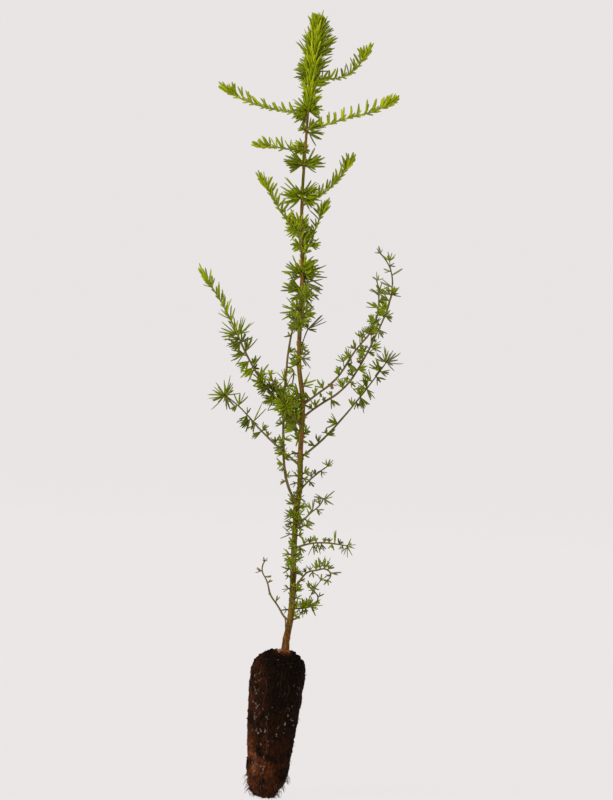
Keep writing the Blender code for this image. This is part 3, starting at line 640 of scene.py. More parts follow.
# Tufts on the stem: height, heading, needles, their length in mm, rise of the tuft, tint or None.
stemTufts = (
    (0.703, 178, 7, 17, 18, None), (0.701, 196, 6, 13, -28, "leaf"), (0.702, 150, 6, 12, 8, None),
    (0.7, 184, 9, 17, -32, "leaf"), (0.699, 172, 8, 16, -14, "leaf"), (0.698, 196, 6, 13, -52, "olive"),
    (0.701, 2, 7, 14, 4, "leaf"), (0.704, -4, 6, 15, 36, "leaf"), (0.701, -30, 5, 13, 14, "leaf"),
    (0.702, 80, 7, 12, 20, None), (0.702, -96, 5, 10, 25, "leaf"), (0.683, 2, 6, 13, 34, "leaf"),
    (0.682, -16, 6, 17, 16, "leaf"), (0.68, 6, 4, 17, -20, "olive"), (0.682, 100, 6, 11, 15, None),
    (0.681, 186, 3, 7, 20, None), (0.664, 180, 8, 11, 28, "leaf"), (0.661, 196, 7, 12, 4, "leaf"),
    (0.662, 92, 6, 10, 15, None), (0.66, -100, 4, 9, -20, "leaf"), (0.647, 178, 8, 21, 22, "leaf"),
    (0.645, 200, 8, 20, 8, "olive"), (0.646, 158, 7, 18, 6, "leaf"), (0.646, 2, 6, 19, 34, "leaf"),
    (0.645, -18, 6, 19, 6, "leaf"), (0.646, 36, 6, 16, 20, "leaf"), (0.646, 92, 8, 15, 14, None),
    (0.645, -96, 4, 10, 24, "leaf"), (0.616, 172, 8, 21, 10, "fresh"), (0.613, 190, 9, 22, -2, "leaf"),
    (0.612, 204, 6, 15, -22, "fresh"), (0.618, 8, 8, 17, 15, "leaf"), (0.615, -14, 9, 17, 4, "fresh"),
    (0.611, 16, 7, 15, -22, "leaf"), (0.616, 92, 8, 15, 10, None), (0.615, -104, 6, 12, 30, "leaf"),
    (0.612, -70, 6, 11, -10, "fresh"), (0.582, 182, 7, 16, -4, "leaf"), (0.586, 178, 8, 16, 12, "lime"),
    (0.583, 198, 8, 16, 8, "fresh"), (0.579, 178, 6, 15, -8, "lime"), (0.585, -128, 8, 14, 20, "lime"),
    (0.578, -146, 8, 14, -4, "fresh"), (0.586, 92, 7, 12, 18, None), (0.584, -70, 6, 10, 20, "fresh"),
    (0.578, 8, 6, 11, 40, "leaf"), (0.57, -14, 6, 11, 22, "leaf"), (0.574, 60, 6, 11, 10, None),
    (0.546, -6, 7, 13, 4, "leaf"), (0.562, 30, 6, 11, 38, "leaf"), (0.56, 186, 4, 9, 15, None),
    (0.556, 80, 6, 11, 12, None), (0.536, 180, 5, 20, 4, "leaf"), (0.535, 174, 3, 18, 47, "leaf"),
    (0.536, 200, 3, 11, 66, "olive"), (0.532, 184, 4, 14, -8, "olive"), (0.537, 2, 10, 13, 34, "fresh"),
    (0.538, -14, 4, 23, 22, "leaf"), (0.535, 10, 4, 24, -6, "olive"), (0.54, -30, 6, 12, 60, "fresh"),
    (0.536, -96, 6, 10, 20, "leaf"), (0.534, 92, 8, 13, 12, None), (0.534, -24, 6, 12, 16, "fresh"),
    (0.527, -6, 4, 23, -12, "grey"), (0.524, 10, 4, 20, -22, "grey"), (0.52, 190, 4, 15, 22, "leaf"),
    (0.518, 180, 6, 18, 4, "olive"), (0.513, 180, 4, 10, -34, "leaf"), (0.515, 0, 4, 17, -10, "olive"),
    (0.512, -14, 4, 15, -24, "deep"), (0.516, -100, 5, 8, 10, "leaf"), (0.517, 92, 7, 13, 6, None),
    (0.506, -82, 7, 9, 30, "leaf"), (0.5, -58, 6, 10, -5, "olive"), (0.497, 180, 7, 19, 4, "leaf"),
    (0.498, 172, 3, 15, 50, "leaf"), (0.494, 186, 4, 16, -12, "olive"), (0.488, 0, 5, 15, 44, "leaf"),
    (0.49, -106, 8, 8, 30, "fresh"), (0.484, -80, 9, 8, 14, "fresh"), (0.478, -108, 8, 8, 5, "leaf"),
    (0.486, 196, 6, 10, 10, "leaf"), (0.48, 186, 5, 9, -16, "olive"), (0.488, 96, 7, 10, 14, None),
    (0.478, 84, 6, 9, 8, None), (0.449, 196, 4, 7, 20, "leaf"), (0.447, -100, 8, 7, 20, "fresh"),
    (0.441, -80, 7, 6, -10, "fresh"), (0.452, 0, 3, 10, 40, "grey"), (0.45, -8, 3, 13, -14, "grey"),
    (0.449, 8, 3, 9, -30, "grey"), (0.451, 90, 7, 9, 10, None), (0.441, 184, 9, 10, 30, "leaf"),
    (0.422, 0, 4, 13, 42, "fresh"), (0.42, 30, 3, 12, 20, "fresh"), (0.412, 190, 8, 11, 20, "leaf"),
    (0.404, 176, 8, 12, 0, "olive"), (0.398, 200, 8, 12, 10, "leaf"), (0.392, 184, 6, 12, -20, "olive"),
    (0.402, 92, 8, 10, 10, None), (0.408, -108, 6, 8, 10, "olive"), (0.372, 0, 6, 6, 20, "olive"),
    (0.375, 186, 5, 6, 10, "deep"), (0.372, 88, 7, 9, 5, None), (0.352, 184, 4, 6, 0, "deep"),
    (0.35, -20, 4, 6, 10, "olive"), (0.346, 100, 7, 8, 5, None), (0.331, 0, 9, 8, 30, "leaf"),
    (0.327, -16, 6, 7, -10, "leaf"), (0.329, 180, 4, 7, 20, "grey"), (0.322, 184, 4, 7, -10, "olive"),
    (0.328, 92, 7, 8, 5, None), (0.329, -100, 5, 6, 15, "leaf"), (0.312, -120, 5, 6, 10, None),
    (0.306, 70, 6, 8, 10, None), (0.308, 184, 4, 6, 10, "olive"), (0.299, 182, 8, 9, 30, None),
    (0.296, -28, 7, 8, 20, "leaf"), (0.29, 202, 7, 8, 0, "leaf"), (0.286, 188, 3, 10, 4, "grey"),
    (0.284, -58, 8, 8, 15, None), (0.281, 170, 6, 7, -10, "olive"), (0.277, 196, 3, 9, -16, "grey"),
    (0.292, 92, 8, 10, 10, None), (0.281, 60, 8, 9, 10, None), (0.288, -112, 9, 8, 20, None),
    (0.275, -100, 7, 7, 0, "leaf"), (0.268, -30, 7, 7, 12, "leaf"), (0.276, -10, 5, 7, -10, "olive"),
    (0.269, 181, 3, 15, 0, "grey"), (0.262, -120, 5, 6, 10, None), (0.256, 120, 6, 7, 10, None),
    (0.248, 184, 6, 8, 15, "leaf"), (0.243, 176, 6, 7, -5, "olive"), (0.243, -4, 6, 8, 15, "leaf"),
    (0.233, 190, 6, 9, 20, "olive"), (0.226, 180, 4, 5, 5, "deep"), (0.186, -40, 6, 7, 8, "leaf"),
    (0.235, 90, 7, 8, 10, None), (0.23, -42, 5, 7, 0, None), (0.213, 186, 5, 7, 15, "faded"),
    (0.203, -10, 6, 7, 40, "leaf"), (0.21, -8, 6, 11, 38, "leaf"), (0.198, -92, 8, 7, 30, "faded"),
    (0.192, 190, 4, 6, 0, None), (0.32, -70, 5, 5, 55, "olive"), (0.312, -108, 5, 5, 50, "leaf"),
    (0.304, -80, 5, 5, 55, "leaf"), (0.296, -120, 5, 5, 50, "fresh"), (0.286, -72, 5, 5, 55, "leaf"),
    (0.278, -100, 5, 5, 50, "olive"), (0.268, -76, 5, 5, 55, "leaf"), (0.258, -104, 5, 5, 50, "olive"),
    (0.25, -66, 5, 5, 55, "leaf"), (0.24, -110, 5, 5, 50, "fresh"), (0.23, -84, 5, 5, 55, "leaf"),
    (0.222, -120, 5, 5, 50, "olive"), (0.214, -76, 4, 5, 55, "leaf"), (0.205, -100, 4, 5, 50, "olive"),
)
stemTuftHabit = dict(
    crowns=((0.50, "upper"), (0.33, "middle"), (0, "lower")),  # the part of the crown above each height
    open=((0.47, 58), (0, 76)),  # half opening above each height
    buried=0.7,  # share of the stem's radius where a spur starts
    spur=(0.0012, 0.0022), radius=0.0008,  # how far spurs stand out, and their thickness
)
spurHabit = dict(
    peg=(0.0012, 0.0024), placedPeg=(0.0004, 0.0012), radius=0.0007,  # how far spurs stand out, thickness
    lift=0.25, ahead=0.35,  # how far they lean upwards and along the branch
    tipOpen=100,  # half opening of the tuft at a branch's end
    aside=0.45,  # how far placed tufts stray from the front plane
    longer=1.06, wider=1.5,  # placed tufts' needles and openings, times those of their rows
    firstNew=0.10,  # share of a twig that this year's needles leave free
)


def above(height, steps):
    return next(value for low, value in steps if height > low)


def dressStem():
    chance = random.Random("stem tufts")
    for height, turn, count, length, rise, tint in stemTufts:
        spur = chance.uniform(*stemTuftHabit["spur"])
        foot = stemCentre(height) + heading(turn) * (stemRadius(height) * stemTuftHabit["buried"])
        reach = stemRadius(height) * 0.3 + spur
        growSpur(above(height, stemTuftHabit["crowns"]), foot, heading(turn, rise), reach,
                 stemTuftHabit["radius"], count, length, chance, tint, above(height, stemTuftHabit["open"]))


def dressLeader():
    chance = random.Random("leader")
    low, high = leaderRows[0][0], leaderRows[-1][0]
    height, number = low, 0
    while height < high:
        length, lean = smoothRow(leaderRows, height)
        turn = goldenTurn * number
        out = Vector((cos(turn), sin(turn), 0))
        way = tilted(upward, out, radians(lean * chance.uniform(0.55, 1.2)))
        size = length / 1000 * chance.uniform(0.75, 1.08)
        bend = upward * leaderHabit["curl"] * chance.uniform(0.3, 1.3) - out * leaderHabit["hug"]
        if number % 5 == 0:
            tint = pickTint("leader", chance)
        foot = stemCentre(height) + out * stemRadius(height) * stemTuftHabit["buried"]
        face = upward + way.cross(upward) * either(chance, 1)
        addNeedle("leader", tint, foot, way, bend, face, size)
        height += leaderHabit["spacing"] * chance.uniform(0.6, 1.4)
        number += 1
    for number in range(leaderHabit["tipCount"]):
        share = number / leaderHabit["tipCount"]
        out = around(heading(0), heading(90), goldenTurn * number)
        way = tilted(upward, out, radians(leaderHabit["tipOpen"]) * sqrt(share))
        foot = stemCentre(high) - upward * leaderHabit["tipReach"] * share
        addNeedle("leader", pickTint("leader", chance), foot, way, upward * 0.02, heading(0),
                  chance.uniform(*leaderHabit["tipLengths"]))
    for height, turn, count, length, rise, tint in leaderBunches:
        place = stemCentre(height) + heading(turn) * stemRadius(height)
        growTuft("leader", place, heading(turn, rise), count, length / 1000, chance, tint,
                 leaderHabit["bunchOpen"])


def dressBranches():
    for name, branch in branches.items():
        chance = random.Random(name)
        crown = name.split("_")[0]
        path = branchPath(branch)
        for number, (share, count, size) in enumerate(branch.get("spurs", ())):
            place, along = onPath(path, share)
            first, second = across(along)
            turn = goldenTurn * number + either(chance, 0.4)
            out = first * cos(turn) * 0.9 + second * sin(turn) + upward * spurHabit["lift"]
            aim = along if share >= 1 else (out + along * spurHabit["ahead"]).normalized()
            reach = branchRadius(branch, share) + chance.uniform(*spurHabit["peg"])
            growSpur(crown, place, aim, reach, spurHabit["radius"], count, size, chance,
                     open=spurHabit["tipOpen"] if share >= 1 else None)
        for share, angle, count, size, opening, tint in placedTufts.get(name, ()):
            place, _ = onPath(path, share)
            turn = radians(angle)
            aside = either(chance, spurHabit["aside"]) - branch.get("forward", 0)
            aim = Vector((cos(turn), aside, sin(turn))).normalized()
            reach = branchRadius(branch, share) + chance.uniform(*spurHabit["placedPeg"])
            growSpur(crown, place, aim, reach, spurHabit["radius"], count, size * spurHabit["longer"],
                     chance, tint, min(opening * spurHabit["wider"], spurHabit["tipOpen"]))
        if "green" in branch:
            growSingles(crown, branch.get("shade", crown), path, branch["length"],
                        max(branch["green"], spurHabit["firstNew"]), chance,
                        habits[branch.get("habit", "upright")])


dressStem()
dressLeader()
dressBranches()
print("needles:", sum(len(rows) for rows in needleRows.values()))


# Older wood forks into short side twigs, each ending in a tuft. Distances in metres, angles in degrees.
forkHabit = dict(
    every=0.026, start=0.22, last=0.96,  # from one to the next, and the shares of a branch with forks
    length=(0.007, 0.017), shorter=0.5,  # and how much shorter they get towards its tip
    lean=(34, 62), turn=(1.1, 2.0),  # from the branch, and round it from its top, in radians
    rises=(0, 12, 22), radius=0.00062, count=(6, 11), needle=(7, 10),
)
# Twigs that are placed one by one: branch, share, heading, rises, length, radius, needles at the tip.
handTwigs = (
    ("lower_front_1", 0.74, 12, (10, -34, -84, -96, -100), 0.021, 0.0010, 6),
    ("middle_right_2", 0.46, -30, (-70, -104, -106), 0.020, 0.0006, 8),
    ("lower_right_5", 0.30, 5, (68, 64, 56), 0.032, 0.0006, 5),
    ("lower_left_1", 0.10, -20, (-80, -86, -88), 0.014, 0.0006, 0),
    ("lower_left_1", 0.00, -10, (30, 20), 0.011, 0.0012, 0),
)
twigHabit = dict(
    steps=12, taper=0.4, needle=8, spur=0.0012, spurRadius=0.00062, open=88,
    second=0.011, secondOpen=60,  # twigs longer than this have a second tuft halfway
)
twigWood = dict(
    station=0.0011, sides=10, grainSize=0.0011,
    cushion=0.00006, cushionGap=0.0019,  # height and spacing of the ridges that its needles stood on
    grain=0.00005, greenShare=0.6,  # and how much of both this year's growth has
    collar=0.55, collarLength=0.0022,  # how much thicker a branch is at its foot
    swelling=(0.55, 0.0030, 0.75),  # of the stem there: share of the branch's radius, width, turn
)
brownTwigs, greenTwigs, barkBumps = [], [], []


def cushionRidges(turn, height, gap):
    # two sets of ridges that wind round a shoot and cross where its needles stood
    return cos(5 * turn + 0.567 * height / gap) + cos(8 * turn - 0.350 * height / gap)


def twigTube(path, length, radiusAt, start, end, seed, much=1):
    # one stretch of a twig, with its ridges and grain
    count = max(4, ceil(length * (end - start) / twigWood["station"]))
    shares = [start + (end - start) * step / count for step in range(count + 1)]
    shift = Vector((seed * 1.7, seed * 0.9, seed * 2.3))

    def relief(place, turn, index):
        ridges = cushionRidges(turn, shares[index] * length, twigWood["cushionGap"])
        fine = roughness(place + shift, twigWood["grainSize"], 2)
        return much * (twigWood["cushion"] * ridges + twigWood["grain"] * fine)

    return tube([between(path, share) for share in shares], [radiusAt(share) for share in shares],
                twigWood["sides"], relief)


def growTwig(name, place, turn, rises, length, radius, count, needle, chance, seed):
    crown, steps = name.split("_")[0], twigHabit["steps"]
    path = [place]
    for step in range(steps):
        path.append(path[-1] + heading(turn, between(rises, (step + 0.5) / steps)) * (length / steps))
    brownTwigs.append(twigTube(path, length, lambda share: radius * (1 - twigHabit["taper"] * share), 0, 1,
                               seed))
    if count == 0:
        return
    along = (path[-1] - path[-2]).normalized()
    growSpur(crown, path[-1], along, twigHabit["spur"], twigHabit["spurRadius"], count, needle, chance,
             open=twigHabit["open"])
    if length > twigHabit["second"]:
        middle, along = onPath(path, 0.5)
        first, second = across(along)
        side = first * either(chance, 1) + second * either(chance, 1) + along * 0.4
        growTuft(crown, middle, side.normalized(), max(3, count // 2), needle * 0.85 / 1000, chance,
                 open=twigHabit["secondOpen"])


def growForks(name, branch, path, last, seed):
    chance = random.Random("forks " + name)
    length, number = branch["length"], 0
    reach = branch.get("forks", forkHabit["start"]) * length
    while reach < last * length:
        place, along = onPath(path, reach / length)
        out = around(*across(along), chance.choice((-1, 1)) * chance.uniform(*forkHabit["turn"]))
        way = tilted(along, out, radians(chance.uniform(*forkHabit["lean"])))
        size = chance.uniform(*forkHabit["length"]) * (1.1 - forkHabit["shorter"] * reach / length)
        turn, rise = headingOf(way)
        growTwig(name, place, turn, [rise + more for more in forkHabit["rises"]], size,
                 forkHabit["radius"], chance.randint(*forkHabit["count"]),
                 chance.uniform(*forkHabit["needle"]), chance, seed * 20 + number)
        number += 1
        reach += forkHabit["every"] * chance.uniform(0.7, 1.4)


def growWood():
    swelling, width, turned = twigWood["swelling"]
    for seed, (name, branch) in enumerate(branches.items()):
        path, length, green = branchPath(branch), branch["length"], branch.get("green", 1)

        def radiusAt(share):
            collar = 1 + twigWood["collar"] * exp(-share * length / twigWood["collarLength"])
            return branchRadius(branch, share) * collar

        if green > 0:
            brownTwigs.append(twigTube(path, length, radiusAt, 0, green, seed))
        if green < 1:
            greenTwigs.append(twigTube(path, length, radiusAt, green, 1, seed, twigWood["greenShare"]))
        turn = radians(branch["heading"])
        barkBumps.append((branch["at"], turn, branch["radius"] * swelling, width, turned))
        if name.startswith(("middle", "lower")):
            growForks(name, branch, path, min(green, forkHabit["last"]), seed)
    for seed, (name, share, turn, rises, length, radius, count) in enumerate(handTwigs, start=80):
        place, _ = onPath(branchPath(branches[name]), share)
        growTwig(name, place, turn, rises, length, radius, count, twigHabit["needle"],
                 random.Random(seed), seed)


growWood()


stemBark = dict(
    station=0.0008, sides=30,
    cushion=0.00006, cushionGap=0.0024,  # height and spacing of the ridges that its needles stood on
    oldWood=(0.46, 0.30),  # below this height its bark is older, and fully old this much further down
    faded=0.55,  # how much of the ridges is lost there
    cracks=0.00032, crackSize=0.0011, narrow=6,  # depth of the old wood's cracks
    grain=0.00007, grainSize=0.0012,
    flakes=0.00014, flakeSize=0.0016,
    stretch=0.16,  # cracks and flakes are this much finer round the stem than along it
    bud=(0.00028, 0.0014, 0.55),  # swelling under a tuft: height, width up the stem, turn in radians
    nodes=((0.648, 0.00030), (0.614, 0.00026), (0.538, 0.00026), (0.500, 0.00030), (0.285, 0.00035),
           (0.163, 0.00040)),  # where a year's growth ends: height, swelling
    nodeWidth=0.0016,
)


def stemRelief():
    # a function that says how far the stem's surface stands out at a place
    rows = list(barkBumps)
    rows += [(height, radians(turn), *stemBark["bud"]) for height, turn, *_ in stemTufts]
    at, turns, heights, long, wide = (np.array(column) for column in zip(*rows))
    oldFrom, oldSpan = stemBark["oldWood"]

    def relief(place, turn, index):
        centre = stemCentre(min(place.z, stemRows[-1][0]))
        about = np.arctan2(place.y - centre.y, place.x - centre.x)
        off = (about - turns + pi) % (2 * pi) - pi
        bumps = heights * np.exp(-((place.z - at) / long) ** 2 - (off / wide) ** 2)
        old = min(max((oldFrom - place.z) / oldSpan, 0), 1)
        ridges = cushionRidges(about, place.z, stemBark["cushionGap"])
        swell = stemBark["cushion"] * ridges * (1 - stemBark["faded"] * old)
        stretched = Vector((place.x, place.y, place.z * stemBark["stretch"]))
        crack = abs(noise.noise(stretched / stemBark["crackSize"]))
        swell -= stemBark["cracks"] * old * max(0, 1 - crack * stemBark["narrow"])
        swell += stemBark["grain"] * roughness(place, stemBark["grainSize"], 2) * (1 + old)
        swell += stemBark["flakes"] * roughness(stretched, stemBark["flakeSize"], 2) * old
        for height, ring in stemBark["nodes"]:
            nearness = exp(-((place.z - height) / stemBark["nodeWidth"]) ** 2)
            swell += ring * nearness * (1 + 0.3 * cos(about * 3))
        return float(swell + bumps.sum())

    return relief


def makeStem():
    low, high = stemRows[0][0], stemRows[-1][0]
    count = ceil((high - low) / stemBark["station"])
    heights = [low + (high - low) * step / count for step in range(count + 1)]
    return tube([stemCentre(height) for height in heights], [stemRadius(height) for height in heights],
                stemBark["sides"], stemRelief())


plug = dict(
    profile=((0, 0.0078), (0.0028, 0.0110), (0.0062, 0.0136), (0.0100, 0.0163), (0.0150, 0.0186),
             (0.0215, 0.0204), (0.0350, 0.0217), (0.0570, 0.0236), (0.0800, 0.0254), (0.1050, 0.0271),
             (0.1255, 0.0280), (0.1340, 0.0268), (0.1400, 0.0243), (0.1445, 0.0196), (0.1475, 0.0130),
             (0.1487, 0.0060), (0.1490, 0)),  # height, half width
    curved=0.1445,  # above this height the profile runs straight from row to row
    foot=-0.0014, lean=0.0066,  # where its axis stands, and how far that has moved at the top
    shoulder=0.136, blend=0.008,  # height of the shoulder, and over what height its lean sets in
    slump=0.0018, tilt=0.075,  # above it the plug leans back, and its right rises above its left
    around=250, station=0.00075,
    lumps=0.0010, lumpSize=0.012, lumpLimit=2.5,
    crumbs=0.00090, crumbSize=0.0034,
    grit=0.00026, gritSize=0.0011,
    pits=0.001248, pitSize=0.0021, pitFrom=0.25,
    ragged=2.3,  # how much rougher it is at the top and the foot
    raggedFoot=0.022, raggedTop=(0.136, 0.012),  # how far up that goes, and from where, over what height
    underside=(0.8, 0.55, 0.28),  # rings of its flat underside, as shares of the foot's
)


def plugOutline():
    # points (half width, height) along the plug's profile, from the middle of its top to its foot's rim
    rows = plug["profile"]
    path = []
    for index in range(len(rows) - 1, 0, -1):
        (low, lowWidth), (high, highWidth) = rows[index - 1], rows[index]
        count = max(1, round(sqrt((high - low) ** 2 + (highWidth - lowWidth) ** 2) / plug["station"]))
        for step in range(count):
            height = high + (low - high) * step / count
            if high <= plug["curved"]:
                path.append((smoothRow(rows, height)[0], height))
            else:
                path.append((highWidth + (lowWidth - highWidth) * step / count, height))
    path.append((rows[0][1], 0.0))
    return path


def plugSurface(turn, halfWidth, height, outwards):
    # a point of the crumbly surface; outwards is (radial, upward) of its profile there
    out = Vector((cos(turn), sin(turn), 0))
    place = out * halfWidth + upward * height
    raggedFrom, raggedSpan = plug["raggedTop"]
    loose = max(0, 1 - height / plug["raggedFoot"], (height - raggedFrom) / raggedSpan)
    loose = 1 + plug["ragged"] * loose
    swell = plug["lumps"] * roughness(place, plug["lumpSize"], 2) * min(loose, plug["lumpLimit"])
    swell += plug["crumbs"] * roughness(place, plug["crumbSize"], 2) * loose
    swell += plug["grit"] * noise.noise(place / plug["gritSize"])
    swell -= plug["pits"] * max(0, noise.noise(place / plug["pitSize"]) - plug["pitFrom"])
    place = place + (out * outwards[0] + upward * outwards[1]) * swell
    top = min(1, max(0, (height - plug["shoulder"]) / plug["blend"]))
    place.z += plug["tilt"] * place.x * top
    place.x += plug["foot"] + plug["lean"] * height / plug["profile"][-1][0] - plug["slump"] * top
    place.z = max(place.z, 0)
    return place


def makePlug():
    outline = plugOutline()
    sides, rows = plug["around"], []
    for index, (halfWidth, height) in enumerate(outline):
        before, after = outline[max(index - 1, 0)], outline[min(index + 1, len(outline) - 1)]
        run, fall = after[0] - before[0], before[1] - after[1]
        size = sqrt(run * run + fall * fall)
        outwards = (fall / size, run / size)
        if index == 0:
            rows.append([plugSurface(0, 0, height, (0, 1))])
            continue
        turns = [2 * pi * side / sides for side in range(sides)]
        rows.append([plugSurface(turn, halfWidth, height, outwards) for turn in turns])
    foot = rows[-1]
    for share in plug["underside"]:
        rows.append([Vector((place.x * share, place.y * share, 0)) for place in foot])
    points = [rows[0][0]] + [place for row in rows[1:] for place in row] + [Vector((0, 0, 0))]
    quads, triangles = skin(len(rows) - 1, sides, 1, 0, len(points) - 1)
    return np.array(points), quads[:, [0, 3, 2, 1]], triangles[:, [0, 2, 1]]  # its rings run downwards


def plugPlace(turn, height, off=0):
    # a point beside the plug, this far off its surface
    halfWidth = smoothRow(plug["profile"], min(height, plug["curved"]))[0]
    return plugSurface(turn, halfWidth, height, (1, 0)) + Vector((cos(turn), sin(turn), 0)) * off


def plugTop(reach):
    # the height of the plug's top, this far out from its axis
    rows = [(width, height) for height, width in plug["profile"] if height > plug["shoulder"]]
    return float(np.interp(reach, *zip(*sorted(rows))))


crumbHabit = dict(
    count=1700, size=(0.0005, 0.0019),
    onTop=0.22, topReach=0.024,  # share that lies on the top, and how far out
    heights=(0.001, 0.143),
    paleCount=30, paleSize=(0.0012, 0.0027),
    clusters=((-138, 0.116, 0.010, 7), (-131, 0.098, 0.010, 13), (-134, 0.082, 0.014, 8),
              (-48, 0.112, 0.006, 4), (-51, 0.090, 0.007, 9), (-66, 0.070, 0.006, 4),
              (-128, 0.052, 0.016, 10), (-104, 0.064, 0.010, 6), (-112, 0.036, 0.014, 8),
              (40, 0.090, 0.02, 10), (120, 0.060, 0.02, 10)),
    spread=7,  # how far the grains of a group stray round the plug, in degrees
    sunk=0.16,  # and how deep they sit, as a share of their size
    stretch=(0.6, 1.25), uneven=(0.75, 1.15),  # how far a lump is pulled out of shape, whole and by corner
)  # clusters: turn, height and spread of a group of pale grains, and how many
gold = (1 + sqrt(5)) / 2
lumpCorners = (
    (-1, gold, 0), (1, gold, 0), (-1, -gold, 0), (1, -gold, 0), (0, -1, gold), (0, 1, gold),
    (0, -1, -gold), (0, 1, -gold), (gold, 0, -1), (gold, 0, 1), (-gold, 0, -1), (-gold, 0, 1),
)
lumpFaces = (
    (0, 11, 5), (0, 5, 1), (0, 1, 7), (0, 7, 10), (0, 10, 11), (1, 5, 9), (5, 11, 4), (11, 10, 2),
    (10, 7, 6), (7, 1, 8), (3, 9, 4), (3, 4, 2), (3, 2, 6), (3, 6, 8), (3, 8, 9), (4, 9, 5), (2, 4, 11),
    (6, 2, 10), (8, 6, 7), (9, 8, 1),
)


def crumb(place, size, chance):
    # a lump with twenty faces, pulled out of shape
    stretch = [chance.uniform(*crumbHabit["stretch"]) for _ in range(3)]
    points = []
    for corner in map(Vector, lumpCorners):
        reach = size * chance.uniform(*crumbHabit["uneven"]) / 2 / corner.length
        point = place + Vector(c * s for c, s in zip(corner, stretch)) * reach
        point.z = max(point.z, 0)
        points.append(point)
    return np.array(points), np.zeros((0, 4), int), np.array(lumpFaces)


def scatterCrumbs(count, sizes, chance):
    parts = []
    for _ in range(count):
        turn = chance.uniform(0, 2 * pi)
        if chance.random() < crumbHabit["onTop"]:
            reach = sqrt(chance.random()) * crumbHabit["topReach"]
            place = plugSurface(turn, reach, plugTop(reach), (0, 1))
        else:
            place = plugPlace(turn, chance.uniform(*crumbHabit["heights"]))
        parts.append(crumb(place, chance.uniform(*sizes), chance))
    return parts


def scatterPale(chance):
    # pale grains in small groups down the plug's side
    parts = scatterCrumbs(crumbHabit["paleCount"], crumbHabit["paleSize"], chance)
    for turn, height, spread, count in crumbHabit["clusters"]:
        for _ in range(count):
            size = chance.uniform(*crumbHabit["paleSize"])
            turned = radians(turn + chance.gauss(0, crumbHabit["spread"]))
            high = height + chance.gauss(0, spread)
            for _ in range(chance.randint(1, 3)):
                place = plugPlace(turned + either(chance, 0.05), high, -crumbHabit["sunk"] * size)
                parts.append(crumb(place, size, chance))
                high += size * chance.uniform(0.4, 0.9)
                size *= chance.uniform(0.6, 0.95)
    return parts


# Fine roots that run down the plug's side. Turns are in radians.
rootHabit = dict(
    count=210, paleShare=0.14, sides=5, station=0.0015, off=0.0001,
    heights=(0.02, 0.140), length=(0.010, 0.045), radius=(0.00009, 0.00020), taper=0.6,
    drift=7,  # how far they run round the plug, for each metre
    wave=(0.02, 0.09), beat=(140, 320),  # how wide and how often they swing to and fro
)
# Hairs that stand off it, most of them near the foot. Turns are in degrees.
hairHabit = dict(
    count=420, lowShare=0.80, paleEvery=12, sides=4, steps=8, sunk=0.0004, clear=0.00025,
    low=((0.001, 0.024), (0.003, 0.009)), high=((0.026, 0.140), (0.002, 0.005)),  # heights, lengths
    fall=20, droop=9,  # how steeply they leave the plug, and more at each step
    aside=50, stray=14, swing=16, radius=0.00019, taper=0.07,
)
# The roots that leave the foot of the stem and dip into the peat: heading, length, radius.
collarRows = ((176, 0.014, 0.0030), (150, 0.012, 0.0018), (85, 0.011, 0.0018), (20, 0.009, 0.0016),
              (-60, 0.008, 0.0014), (-150, 0.012, 0.0022))
collarHabit = dict(
    height=0.1505, steps=10, sides=12, rises=(-12, -6, -20, -60), swing=4, taper=0.07,
    relief=0.00022, reliefSize=0.0018,
)


def rootStrands(chance):
    # the fine roots and the hairs, as brown ones and pale ones
    brown, pale = [], []
    for number in range(rootHabit["count"]):
        turn = chance.uniform(0, 2 * pi)
        height = chance.uniform(*rootHabit["heights"])
        length = min(chance.uniform(*rootHabit["length"]), height - 0.001)
        drift = either(chance, rootHabit["drift"])
        wave, phase = chance.uniform(*rootHabit["wave"]), chance.uniform(0, 6)
        beat = chance.uniform(*rootHabit["beat"])
        steps = max(6, round(length / rootHabit["station"]))
        radius = chance.uniform(*rootHabit["radius"])
        path, radii = [], []
        for step in range(steps + 1):
            share = step / steps
            here = turn + drift * length * share + wave * sin(phase + share * length * beat)
            path.append(plugPlace(here, height - length * share, rootHabit["off"]))
            radii.append(radius * (1 - rootHabit["taper"] * share))
        which = pale if chance.random() < rootHabit["paleShare"] else brown
        which.append(tube(path, radii, rootHabit["sides"]))
    steps = hairHabit["steps"]
    radii = [hairHabit["radius"] * (1 - hairHabit["taper"] * step) for step in range(steps + 1)]
    for number in range(hairHabit["count"]):
        low = number < hairHabit["count"] * hairHabit["lowShare"]
        heights, lengths = hairHabit["low" if low else "high"]
        turn = chance.uniform(0, 2 * pi)
        point = plugPlace(turn, chance.uniform(*heights), -hairHabit["sunk"])
        length = chance.uniform(*lengths)
        turn = np.degrees(turn) + either(chance, hairHabit["aside"])
        path = [point]
        for step in range(steps):
            fall = hairHabit["fall"] + hairHabit["droop"] * step
            rise = either(chance, hairHabit["stray"]) - fall
            point = point + heading(turn, rise) * (length / steps)
            point.z = max(point.z, hairHabit["clear"])
            turn += either(chance, hairHabit["swing"])
            path.append(point)
        which = pale if number % hairHabit["paleEvery"] == 0 else brown
        which.append(tube(path, radii, hairHabit["sides"]))
    return brown, pale


def collarRoots():
    def relief(place, about, index):
        return collarHabit["relief"] * roughness(place, collarHabit["reliefSize"], 2)

    parts, steps = [], collarHabit["steps"]
    for turn, length, radius in collarRows:
        path = [stemCentre(collarHabit["height"])]
        for step in range(steps):
            rise = between(collarHabit["rises"], step / (steps - 1))
            path.append(path[-1] + heading(turn + collarHabit["swing"] * step, rise) * (length / steps))
        radii = [radius * (1 - collarHabit["taper"] * step) for step in range(steps + 1)]
        parts.append(tube(path, radii, collarHabit["sides"], relief))
    return parts


